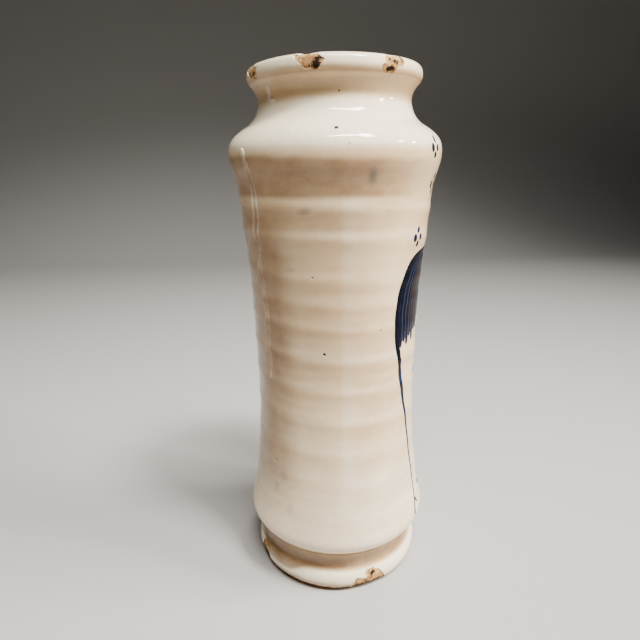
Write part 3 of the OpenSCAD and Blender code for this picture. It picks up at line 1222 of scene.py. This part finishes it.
def thin_glaze_and_painted_shade(point: Vector) -> float:
    """Returns how far the glaze turns to the clay's colour at a place, from 0 to 1, where thin glaze
    lets the clay show through and where shade is painted in.

    Args:
        point: Where, in millimetres.

    Returns:
        How much of the clay's colour comes through.
    """
    angle = angle_of(point)
    toward = math.cos(math.radians(angle + 124.0))
    patchy = ease(mottle(point, 26.0, 1.9), -0.5, 0.5)
    past = min(60.0, max(0.0, (angle + 330.0) % 360.0 - 180.0))
    brow = 238.6 - 0.045 * past + 0.7 * mottle(point, 9.0, 3.7)
    ledge = 219.6 + 0.8 * mottle(point, 14.0, 8.1)
    # Painted shadow of the shoulder on the chest, on the side away from the lamps, over some thin
    # glaze, with a lighter band below it.
    chest_shadow = band(point.z, ledge, brow, 1.7) * ease(toward, -0.2, 0.8) * (0.9 + 0.1 * patchy)
    chest_shadow += band(point.z, 204.5, 215.0, 2.2) * ease(toward, 0.2, 1.0) * (0.4 + 0.2 * patchy)
    # Painted shade down the belly and the left flank, which face away from the lamps, with warm
    # reflected light; the belly is partly thin glaze.
    belly_shade = band(point.z, 130.0, 203.0, 14.0) * ease(toward, 0.4, 1.0) * (0.2 + 0.2 * patchy)
    aside = math.cos(math.radians(angle + 160.0))
    shaded_flank = band(point.z, 60.0, 205.0, 20.0) * ease(aside, 0.72, 0.96) * 0.85
    # Painted shadow of the lip on the neck, all round.
    lip_shadow = band(point.z, 263.5, 272.6, 2.2) * 0.5
    lip_line = band(point.z, 271.8, 272.9, 0.5) * 0.5
    # Painted shade in the groove above the foot, reaching down over the bead's top on the left, with a
    # lighter turning line in it.
    groove_shade_bottom = 14.2 - 5.2 * math.exp(-(((angle + 140.0) / 19.0) ** 4))
    groove_shade = band(point.z, groove_shade_bottom, 28.6, 1.2) * (1.0 - 0.3 * math.exp(-(((point.z - 22.8) / 0.6) ** 2)))
    worn = 4.4 + 1.0 * mottle(point, 9.0, 6.6) + 2.8 * math.exp(-(((angle + 118.0) / 34.0) ** 4))
    foot_edge = (1.0 - ease(point.z, worn - 1.8, worn + 1.8)) * 0.85
    return min(1.0, chest_shadow + belly_shade + shaded_flank + lip_shadow + lip_line + groove_shade + foot_edge)


def thick_glaze_and_painted_light(point: Vector) -> float:
    """Returns how much whiter the glaze is at a place, from 0 to 1, from thick milky glaze and from
    painted light.

    Args:
        point: Where, in millimetres.

    Returns:
        How much of the milky white it has.
    """
    # Painted light on the upward faces of the shoulder and the lip's crown, partly thick glaze.
    lit_shoulder = band(point.z, 241.0, 262.0, 2.6) * 0.95
    lip = ease(point.z, 273.0, 275.5) * 0.85
    # Painted light on the lower body, as light thrown up from the floor.
    lower = (1.0 - ease(point.z, 30.0, 120.0)) * ease(point.z, 26.0, 30.0) * 0.65
    # The foot's bead: partly thick glaze, partly painted light on its upward face.
    foot = (1.0 - ease(point.z, 12.6, 14.4)) * ease(point.z, 3.0, 6.0)
    angle = angle_of(point)
    # Painted sheen: a soft vertical band just past the front, where a lamp's reflection begins.
    painted_sheen = ease(angle, -92.0, -89.5) * (1.0 - ease(angle, -88.0, -78.0))
    painted_sheen *= band(point.z, 60.0, 232.0, 16.0)
    painted_sheen *= 0.26 + 0.2 * mottle(point, 34.0, 7.2)
    return min(1.0, lit_shoulder + lip + lower + foot + painted_sheen)


# ---------------------------------------------------------------- brushwork


@dataclass
class Brush:
    """Lays strokes of pigment or glaze on the wall as thin closed ribbons."""

    wall: Wall
    bed: float = 0.12
    stored: tuple[str, ...] = ("across", "along", "ink", "dip", "pool", "thin", "whiteness")

    def lay(
        self,
        rows: int,
        columns: int,
        place: Place,
        lift: Lift,
        spread: Point,
        dip: float,
        rim: float = 0.45,
    ) -> Mesh:
        """Lays one patch on the wall.

        Args:
            rows: Stretches along the patch.
            columns: Stretches across it.
            place: Gives an angle and a height from along and across, both from 0 to 1.
            lift: Gives how proud of the glaze the patch is there, in millimetres.
            spread: The patch's width and length in millimetres.
            dip: A number that gives each dip of the brush its own streaks.
            rim: How far in from its edge the patch is at full strength, in millimetres.

        Returns:
            The closed patch, with its across, along, ink and dip values and the glaze's own.
        """
        bm = bmesh.new()
        bmesh.ops.create_grid(bm, x_segments=columns, y_segments=rows, size=0.5)
        store = {name: bm.verts.layers.float.new(name) for name in self.stored}
        wide, long = spread
        top = list(bm.verts)
        feet = []
        for vert in top:
            across, along = vert.co.x + 0.5, vert.co.y + 0.5
            angle, height = place(along, across)
            edge = min(across, 1 - across) * wide, min(along, 1 - along) * long
            vert[store["across"]] = across * wide
            vert[store["along"]] = along * long
            vert[store["ink"]] = min(1.0, edge[0] / rim) * min(1.0, edge[1] / rim)
            vert[store["dip"]] = dip
            # The glaze's stored values, with their painted light and shade, so a stroke shows the
            # glaze's colour past its edges.
            vert[store["pool"]] = self.wall.throwing.pool_and_painted_light(angle, height)
            vert[store["thin"]] = thin_glaze_and_painted_shade(on_circle(angle, MEAN_RADIUS, height))
            vert[store["whiteness"]] = thick_glaze_and_painted_light(on_circle(angle, MEAN_RADIUS, height))
            vert.co = self.wall.point(angle, height, lift(along, across))
            feet.append(self.wall.point(angle, height, -self.bed))
        made = bmesh.ops.extrude_face_region(bm, geom=bm.faces[:], use_keep_orig=True)
        bm.verts.ensure_lookup_table()
        lower = [item for item in made["geom"] if isinstance(item, bmesh.types.BMVert)]
        nearest = {tuple(round(c, 9) for c in vert.co): foot for vert, foot in zip(top, feet)}
        for vert in lower:
            vert.co = nearest[tuple(round(c, 9) for c in vert.co)]
        bmesh.ops.recalc_face_normals(bm, faces=bm.faces)
        return bm

    def stroke(
        self, route: Route, proud: float, dip: float, full: bool = False, columns: int = 10,
        fine: float = 0.9, beads: float = 0.0,
    ) -> Mesh:
        """Lays one brush stroke.

        Args:
            route: Angle, height and width of the brush at each point that it passes.
            proud: How proud of the glaze its middle is, in millimetres.
            dip: A number that gives the stroke its own streaks.
            full: Whether the route's widths hold to both ends, or the brush was lifted.
            columns: Stretches across the stroke.
            fine: Length of a row, in millimetres.
            beads: Share by which it swells and thins, where what it lays ran in beads.

        Returns:
            The closed stroke, in metres.
        """
        outline = self.wall.outline

        def swell(height: float) -> float:
            """Returns the share of its width and thickness that the stroke has at a height."""
            small = mottle(Vector((dip, 0, height)), 2.4, 1.0)
            large = mottle(Vector((0, dip, height)), 6.0, 4.0)
            return 1.0 + beads * (small + large)

        def middle(along: float) -> Vector:
            """Returns the stroke's middle on the unrolled wall, in millimetres."""
            angle, height, _ = curve_at(route, along)
            return Vector((math.radians(angle) * outline.radius(height), height))

        marks = [middle(i / 40) for i in range(41)]
        long = sum((b - a).length for a, b in zip(marks, marks[1:]))
        widest = max(width for _, _, width in route)

        def place(along: float, across: float) -> Point:
            """Finds a place in the stroke.

            Args:
                along: From 0 at its start to 1 at its end.
                across: From 0 at one edge to 1 at the other.

            Returns:
                The angle in degrees and the height in millimetres.
            """
            angle, height, width = curve_at(route, along)
            before, after = middle(max(0.0, along - 0.01)), middle(min(1.0, along + 0.01))
            way = (after - before).normalized()
            width *= swell(height)
            if not full:
                width *= math.sqrt(max(0.0, 1.0 - abs(2.0 * along - 1.0) ** 2.4)) + 0.02
            off = (across - 0.5) * width
            return angle + self.wall.degrees(-off * way.y, height), height + off * way.x

        def lift(along: float, across: float) -> float:
            """Finds how proud the stroke is.

            Args:
                along: From 0 at its start to 1 at its end.
                across: From 0 at one edge to 1 at the other.

            Returns:
                The distance from the glaze in millimetres.
            """
            crown = 1.0 - abs(2.0 * across - 1.0) ** 2.5
            ends = min(1.0, along * long / 1.2, (1.0 - along) * long / 1.2)
            return proud * crown * ends * swell(curve_at(route, along)[1]) - 0.02 * (1.0 - crown * ends)

        rows = max(8, int(long / fine))
        return self.lay(rows, columns, place, lift, (widest, long), dip)


def mirrored(route: Route, side: Side) -> list[tuple[float, float, float]]:
    """Returns a route on one side of the painting."""
    return [(angle * side.value, height, width) for angle, height, width in route]


def joined(parts: Iterable[Mesh]) -> Mesh:
    """Returns one bmesh with all the parts, which are freed.

    Args:
        parts: The meshes to join.

    Returns:
        The joined mesh.
    """
    whole = bmesh.new()
    for part in parts:
        mesh = bpy.data.meshes.new("part")
        part.to_mesh(mesh)
        part.free()
        whole.from_mesh(mesh)
        bpy.data.meshes.remove(mesh)
    return whole


@dataclass
class GlazeRuns:
    """Strands of thick white glaze that ran down from the shoulder, and a drip at the neck."""

    brush: Brush
    strands: tuple[Route, ...] = (
        (
            (-145.8, 241.5, 2.4), (-145.8, 239, 4.4), (-145.4, 235, 3.4), (-146, 228, 2.6),
            (-145.7, 222, 2.5), (-146.5, 215, 2.7), (-148.3, 207, 2.4), (-149.4, 202, 2.6),
            (-146, 197, 2.9), (-146, 192, 2.6), (-149, 186, 2.8), (-148, 179, 3.2),
            (-147, 171, 3.2), (-145.4, 163, 3.4), (-145.6, 156, 3.2), (-147, 147, 3.6),
            (-146.6, 141.5, 4.4), (-146.6, 138.6, 2.2),
        ),
        (
            (-145, 237, 1.9), (-143.2, 232.5, 2.2), (-142.6, 226, 2.0), (-142.4, 216, 2.0),
            (-143.4, 207, 2.0), (-145, 200.5, 2.3), (-144.4, 195, 2.2), (-146.2, 189, 1.8),
            (-146.2, 183, 1.9), (-144.8, 172, 1.9), (-143.2, 162, 2.0), (-143.4, 150, 2.2),
            (-144.0, 142, 2.0),
        ),
        ((-143.4, 141, 1.9), (-143.2, 136, 2.3), (-144.2, 130, 1.9), (-145, 124.5, 1.4)),
        (
            (-145.4, 270.0, 1.6), (-146, 267.6, 4.2), (-146, 265.4, 4.6), (-144.4, 263.2, 2.4),
            (-139.6, 262.4, 1.6),
        ),
    )
    proud: tuple[float, ...] = (0.5, 0.34, 0.3, 0.5)
    beads: float = 0.34

    def build(self, finishes: Finishes) -> None:
        """Builds the strands as one piece.

        Args:
            finishes: The jar's materials.
        """
        parts = [
            self.brush.stroke(
                route, proud, proud * 9.0, full=True, columns=8, fine=0.4, beads=self.beads
            )
            for route, proud in zip(self.strands, self.proud)
        ]
        finish_piece(
            "glaze_run_strands", joined(parts), finishes[Look.RUNS], Slot.RUNS, ["glaze_runs"],
            STROKE_EDGE,
        )


@dataclass
class Specks:
    """Iron specks that fired into the glaze."""

    brush: Brush
    specks: tuple[tuple[float, float, float], ...] = (
        (-88.4, 242.0, 0.9), (-66.0, 213.4, 0.9), (-84.2, 203.2, 0.7), (-102.4, 175.0, 0.9),
        (-103.4, 172.2, 0.7), (-115.2, 129.0, 0.9), (-73.2, 126.0, 0.9), (-111.4, 119.0, 0.7),
        (-86.4, 72.4, 0.8), (-134.0, 98.0, 0.7), (-120.0, 47.0, 0.7), (-8.0, 128.0, 0.8),
        (31.0, 66.0, 0.9), (84.0, 196.0, 0.8), (103.0, 133.0, 1.0), (141.0, 174.0, 0.8),
        (170.0, 63.0, 0.9),
    )
    proud: float = 0.03

    def dot(self, angle: float, height: float, size: float) -> Mesh:
        """Lays one small uneven dot.

        Args:
            angle: Angle from the front, in degrees.
            height: Height in millimetres.
            size: Its width in millimetres.

        Returns:
            The closed dot.
        """
        lean = 0.6 * mottle(Vector((angle, height, 0.0)), 1.0, 0.7)
        route = (
            (angle - lean, height + size * 0.6, size * 0.5), (angle, height, size),
            (angle + lean, height - size * 0.6, size * 0.6),
        )
        return self.brush.stroke(route, self.proud, angle, full=True, columns=8, fine=size * 0.12)

    def build(self, finishes: Finishes) -> None:
        """Builds the specks as one piece.

        Args:
            finishes: The jar's materials.
        """
        dots = joined(self.dot(*speck) for speck in self.specks)
        finish_piece("iron_specks", dots, finishes[Look.IRON], Slot.BROWN, (), STROKE_EDGE)


@dataclass
class Painting:
    """The painted front: a pair of plumes with long tails, a sprig and small flowers."""

    brush: Brush
    outline: Route = (
        (-14, 192, 3), (-28.5, 189.6, 6.4), (-38.5, 187.4, 6), (-44.2, 182.8, 5.4), (-49.4, 173.5, 5),
        (-51.6, 163, 4.6), (-51.7, 153, 4.4), (-50, 143, 4), (-47.8, 134.5, 2.8), (-46.8, 131, 2.2),
    )
    tail: Route = (
        (-47.8, 137, 3), (-45.8, 125.5, 3.2), (-43.0, 117, 2.9), (-39.4, 106, 2.5),
        (-35.7, 95.5, 2.4), (-33.6, 85.5, 2.2), (-31.6, 74, 2), (-30.2, 62.6, 1.9),
        (-29.7, 53.5, 1.7), (-31, 43.5, 1.7), (-33.2, 37.0, 1.8),
    )
    flick: Route = ((-30.6, 45.5, 1.2), (-28.6, 42.4, 1.6), (-26.6, 40.6, 2.0))
    blob: Route = ((-33.0, 38.6, 2.2), (-33.6, 35.4, 2.8))
    plume_outer: tuple[tuple[float, float], ...] = (
        (-24, 189), (-38, 186.2), (-46.6, 178.2), (-50.5, 165), (-50.7, 152), (-49, 141.5),
    )
    plume_inner: tuple[tuple[float, float], ...] = (
        (-13.5, 189.5), (-15, 184.5), (-16.5, 178), (-18, 171), (-19, 163.5), (-19.5, 156),
    )
    drops: tuple[float, ...] = (0, -1, 3, 1, 5.5, 2.5, 4.5, 0)
    brown: tuple[int, ...] = (3, 4, 6)
    stem: Route = ((0.4, 172, 1.2), (-0.6, 150, 1.8), (0.5, 122, 2.0), (-0.4, 94, 1.9), (0.3, 62, 1.2))
    leaf_heights: tuple[float, ...] = (140, 116, 92, 74)
    leaf_spans: tuple[float, ...] = (19, 26, 17, 11)
    flowers: tuple[tuple[float, float], ...] = (
        (-38.7, 199.2), (-35.2, 241), (-24.8, 224.2), (-8.5, 207), (-15, 50),
    )
    pigment: float = 0.05
    film: float = 0.025
    feather_size: Point = (3.0, 50.0)
    wash_size: Point = (24.0, 50.0)

    def plume_place(self, share: float, along: float, drop: float) -> Point:
        """Returns the angle and height of a place in the left plume.

        Args:
            share: 0 at the plume's outer edge and 1 at its inner edge.
            along: 0 at its top and 1 at the feathers' tips.
            drop: How far this feather hangs below the others.

        Returns:
            The angle in degrees and the height in millimetres.
        """
        outer, inner = curve_at(self.plume_outer, along), curve_at(self.plume_inner, along)
        height = blend(outer[1], inner[1], share) - drop * along**3
        return blend(outer[0], inner[0], share), height

    def feather(self, index: int, side: Side) -> Mesh:
        """Returns one feather stroke, blunt at the top and pointed at its tip.

        Args:
            index: Which feather, counted from the plume's outer edge.
            side: Which half of the painting.

        Returns:
            The closed stroke, in metres.
        """
        count = len(self.drops)

        def place(along: float, across: float) -> Point:
            """Finds a place in the feather.

            Args:
                along: From 0 at its start to 1 at its end.
                across: From 0 at one edge to 1 at the other.

            Returns:
                The angle in degrees and the height in millimetres.
            """
            slim = 1.0 - 0.75 * ease(along, 0.82, 1.0) - 0.35 * (1.0 - ease(along, 0.0, 0.15))
            share = (index + 0.5 + (across - 0.5) * 0.96 * slim) / count
            angle, height = self.plume_place(share, along, self.drops[index])
            return angle * side.value, height

        def lift(along: float, across: float) -> float:
            """Returns how proud the feather is at a place, in millimetres."""
            return 0.03 + self.pigment * (1.0 - abs(2.0 * across - 1.0) ** 2)

        dip = index * 3.7 + (11.0 if side is Side.LEFT else 17.0)
        return self.brush.lay(64, 8, place, lift, self.feather_size, dip)

    def wash(self, side: Side) -> Mesh:
        """Returns the thin wash under one plume, with a point under each feather.

        Args:
            side: Which half of the painting.

        Returns:
            The closed patch, in metres.
        """
        count = len(self.drops)

        def place(along: float, across: float) -> Point:
            """Finds a place in the wash.

            Args:
                along: From 0 at its start to 1 at its end.
                across: From 0 at one edge to 1 at the other.

            Returns:
                The angle in degrees and the height in millimetres.
            """
            spot = across * count
            index = min(count - 1, int(spot))
            point = 1.0 - abs(2.0 * (spot - index) - 1.0)
            drop = blend(self.drops[index] - 1.4, self.drops[index] + 0.5, ease(point, 0.0, 0.7))
            angle, height = self.plume_place(across, along, drop)
            return angle * side.value, height

        def lift(along: float, across: float) -> float:
            """Returns how proud the wash is, which is the same all over."""
            return self.film

        dip = 2.0 if side is Side.LEFT else 5.0
        return self.brush.lay(70, 64, place, lift, self.wash_size, dip, rim=0.6)

    def petals(self, angle: float, height: float, dip: float) -> list[Mesh]:
        """Returns the four dabs of the brush that make a small flower.

        Args:
            angle: Angle from the front, in degrees.
            height: Height above the resting face, in millimetres.
            dip: A number that gives the dabs their streaks.

        Returns:
            The four closed dabs, in metres.
        """
        gap = self.brush.wall.degrees(2.9, height)
        dabs = (
            ((angle - gap - 0.2, height + 2.1), (angle - gap + 0.2, height - 2.4), 3.8),
            ((angle + gap + 0.3, height + 2.0), (angle + gap - 0.2, height - 2.0), 3.2),
            ((angle + 0.3, height + 5.6), (angle - 0.1, height + 1.7), 3.0),
            ((angle + 0.2, height - 1.5), (angle - 0.1, height - 5.2), 3.0),
        )
        made = []
        for i, (top, low, width) in enumerate(dabs):
            half = [(a + b) / 2 for a, b in zip(top, low)]
            route = ((*top, width * 0.8), (*half, width), (*low, width * 0.9))
            made.append(self.brush.stroke(route, self.pigment, dip + i * 1.9, columns=8, fine=0.3))
        return made

    def leaf(self, side: Side, level: float, reach: float, dip: float) -> Mesh:
        """Returns one leaf of the sprig.

        Args:
            side: Which half of the painting.
            level: Height at which it leaves the stem, in millimetres.
            reach: Angle that it reaches to, in degrees.
            dip: A number that gives it its own streaks.

        Returns:
            The closed stroke, in metres.
        """
        route = (
            (-1.2, level - 1, 0.6), (-reach * 0.35, level + 5.2, 3.6), (-reach * 0.7, level + 7.4, 3.4),
            (-reach, level + 4.2, 0.6),
        )
        return self.brush.stroke(mirrored(route, side), self.pigment, dip, full=True, fine=0.5)

    def build(self, finishes: Finishes) -> None:
        """Builds and dresses every part of the painting.

        Args:
            finishes: The jar's materials.
        """
        def dress(name: str, parts: Iterable[Mesh], look: Look, slot: Slot, node: str) -> None:
            """Joins parts of the painting into one piece in place of its CAD node."""
            finish_piece(name, joined(parts), finishes[look], slot, [node], STROKE_EDGE)

        def line(route: Route, dip: float, columns: int, fine: float) -> Mesh:
            """Returns a line of the brush that keeps its width to both ends."""
            return self.brush.stroke(route, self.pigment, dip, True, columns, fine)

        sides = tuple(Side)
        borders = [line(mirrored(self.outline, side), i * 7.0 + 1.0, 18, 0.6)
                   for i, side in enumerate(sides)]
        dress("plume_outlines", borders, Look.BOLD, Slot.COBALT, "cobalt_outlines")
        fine_lines = ((self.tail, 0.0), (self.flick, 3.0), (self.blob, 6.0))
        tails = [line(mirrored(route, side), dip + side.value, 8, 0.5)
                 for route, dip in fine_lines for side in sides]
        dress("plume_tails", tails, Look.FINE, Slot.COBALT, "cobalt_tails")
        washes = [self.wash(side) for side in sides]
        dress("plume_wash", washes, Look.WASH, Slot.WASH, "cobalt_wash")
        blue = [i for i in range(len(self.drops)) if i not in self.brown]
        blues = [self.feather(i, side) for i in blue for side in sides]
        dress("blue_feathers", blues, Look.DEEP, Slot.DEEP, "cobalt_feathers")
        browns = [self.feather(i, side) for i in self.brown for side in sides]
        dress("brown_feathers", browns, Look.BROWN, Slot.BROWN, "manganese_feathers")
        dress("sprig_stem", [line(self.stem, 4.0, 8, 0.6)], Look.FINE, Slot.COBALT, "cobalt_stem")
        leaves = [self.leaf(side, level, reach, level + side.value)
                  for level, reach in zip(self.leaf_heights, self.leaf_spans) for side in sides]
        dress("sprig_leaves", leaves, Look.BOLD, Slot.COBALT, "cobalt_leaves")
        dabs = [dab for angle, height in self.flowers for side in sides
                for dab in self.petals(angle * side.value, height, height)]
        dress("little_flowers", dabs, Look.FINE, Slot.COBALT, "cobalt_flowers")


# ---------------------------------------------------------------- studio


@dataclass(frozen=True)
class Lamp:
    """A rectangular soft light with a grid, aimed at the middle of the jar."""

    name: str
    side: float
    rise: float
    far: float
    wide: float
    tall: float
    power: float
    warmth: tuple[float, float, float] = (1.0, 1.0, 1.0)
    spread: float = 64.0
    glints: bool = True

    def place(self) -> None:
        """Adds the light to the scene."""
        data = bpy.data.lights.new(self.name, "AREA")
        data.shape = "RECTANGLE"
        data.size, data.size_y = self.wide, self.tall
        data.energy = self.power
        data.color = self.warmth
        data.spread = math.radians(self.spread)
        lamp = bpy.data.objects.new(self.name, data)
        lamp.visible_glossy = self.glints
        rise = math.radians(self.rise)
        flat = on_circle(SHOW_SIDE + self.side, math.cos(rise) * self.far, 0.0)
        lamp.location = flat + Vector((0, 0, MIDDLE + math.sin(rise) * self.far))
        aim = Vector((0, 0, MIDDLE)) - lamp.location
        lamp.rotation_euler = aim.to_track_quat("-Z", "Y").to_euler()
        bpy.context.scene.collection.objects.link(lamp)


@dataclass
class Studio:
    """Camera, pale floor with a swept backdrop, and soft lights."""

    lens: float = 28.125
    sensor: float = 36.0
    distance: float = 0.2767
    eye_height: float = 0.2324
    pitch: float = 16.91
    yaw: float = 1.83
    roll: float = -0.79
    lamps: tuple[Lamp, ...] = (
        Lamp("high_lamp", 18, 65, 2.0, 1.0, 0.16, 8.0, (1.0, 0.985, 0.96)),
        Lamp("high_panel", 50, 60, 2.0, 0.34, 0.42, 7.4, (1.0, 0.985, 0.96)),
        Lamp("side_window", 84, 30, 2.0, 0.9, 0.9, 11.5, (1.0, 0.97, 0.93), glints=False),
        Lamp("small_lamp", 74, 32, 0.9, 0.05, 0.05, 0.3),
        Lamp("far_small_lamp", 90, 26, 0.9, 0.04, 0.05, 0.2),
    )

    def camera(self) -> None:
        """Adds the camera, standing off the jar's plain side and looking slightly down."""
        data = bpy.data.cameras.new("camera")
        data.lens, data.sensor_width = self.lens, self.sensor
        data.clip_start, data.clip_end = 0.01, 20.0
        camera = bpy.data.objects.new("camera", data)
        camera.location = on_circle(SHOW_SIDE, self.distance, self.eye_height)
        level = Matrix.Rotation(math.radians(SHOW_SIDE + self.yaw), 4, "Z")
        tilt = Matrix.Rotation(math.radians(90.0 - self.pitch), 4, "X")
        lean = Matrix.Rotation(math.radians(self.roll), 4, "Z")
        camera.rotation_euler = (level @ tilt @ lean).to_euler()
        bpy.context.scene.collection.objects.link(camera)
        bpy.context.scene.camera = camera

    def floor(self) -> None:
        """Adds the pale floor and the backdrop that it sweeps up into."""
        bm = bmesh.new()
        turns = [i * math.pi / 32 for i in range(17)]
        bend = [(1.0 + 0.5 * math.sin(turn), 0.5 - 0.5 * math.cos(turn)) for turn in turns]
        path = [(-2.0, 0.0), *bend, (1.5, 2.2)]
        verts = [bm.verts.new((x, -2.5, z)) for x, z in path]
        edges = [bm.edges.new(pair) for pair in zip(verts, verts[1:])]
        made = bmesh.ops.extrude_edge_only(bm, edges=edges)
        far = [item for item in made["geom"] if isinstance(item, bmesh.types.BMVert)]
        bmesh.ops.translate(bm, verts=far, vec=(0, 5.0, 0))
        bmesh.ops.recalc_face_normals(bm, faces=bm.faces)
        for face in bm.faces:
            face.smooth = True
        mesh = bpy.data.meshes.new("floor")
        bm.to_mesh(mesh)
        bm.free()
        material, _, shader = blank_material("pale_floor")
        shader.inputs["Base Color"].default_value = colour(172, 169, 164)
        shader.inputs["Roughness"].default_value = 0.7
        mesh.materials.append(material)
        floor = bpy.data.objects.new("floor", mesh)
        bpy.context.scene.collection.objects.link(floor)

    def light(self) -> None:
        """Adds the lamps and a dim even surround."""
        for lamp in self.lamps:
            lamp.place()
        world = bpy.data.worlds.new("surround")
        world.use_nodes = True
        world.node_tree.nodes["Background"].inputs[0].default_value = colour(205, 206, 210)
        world.node_tree.nodes["Background"].inputs[1].default_value = 0.06
        bpy.context.scene.world = world


def make_finishes() -> Finishes:
    """Builds the shared node groups and every material.

    Returns:
        The materials, by the look that the pieces ask for.
    """
    groups = {"glaze": tin_glaze_group(), "clay": clay_group(), "brush": brush_group()}
    ink = colour(5, 8, 18)
    lining = {"Milk": colour(228, 212, 186), "Cream": colour(212, 184, 146)}
    whiteness = {
        "Milk": colour(246, 238, 222), "Cream": colour(240, 224, 198), "Blush": colour(232, 208, 176),
    }
    finishes = (
        GlazeFinish(Look.GLAZE, groups),
        GlazeFinish(Look.LINING, groups, lining),
        GlazeFinish(Look.RUNS, groups, whiteness, Gloss(peel=0.00002)),
        ClayFinish(Look.CLAY, groups),
        PigmentFinish(Look.BOLD, groups, colour(16, 22, 38), ink, 0.9, 0.8, 0.4),
        PigmentFinish(Look.FINE, groups, colour(46, 62, 92), colour(16, 24, 44), 1.0, 0.62, 0.45),
        PigmentFinish(Look.IRON, groups, colour(96, 66, 44), colour(40, 26, 18), 1.0, 0.7, 0.8),
        PigmentFinish(Look.WASH, groups, colour(42, 46, 70), colour(26, 29, 48), 0.8, 0.5, 0.4),
        PigmentFinish(
            Look.DEEP, groups, colour(30, 33, 54), ink, 1.6, 0.66, 0.9, colour(42, 45, 68)
        ),
        PigmentFinish(
            Look.BROWN, groups, colour(54, 31, 26), colour(28, 15, 13), 1.6, 0.66, 0.9,
            colour(34, 28, 38),
        ),
    )
    return {finish.look: finish.material() for finish in finishes}


def main() -> None:
    """Builds the studio and the jar."""
    logging.basicConfig(level=logging.INFO, format="%(name)s: %(message)s")
    studio = Studio()
    studio.camera()
    studio.floor()
    studio.light()
    finishes = make_finishes()
    wall = Wall()
    brush = Brush(wall)
    Pot(wall).build(finishes)
    GlazeRuns(brush).build(finishes)
    Specks(brush).build(finishes)
    Painting(brush).build(finishes)


if __name__ == "__main__":
    main()
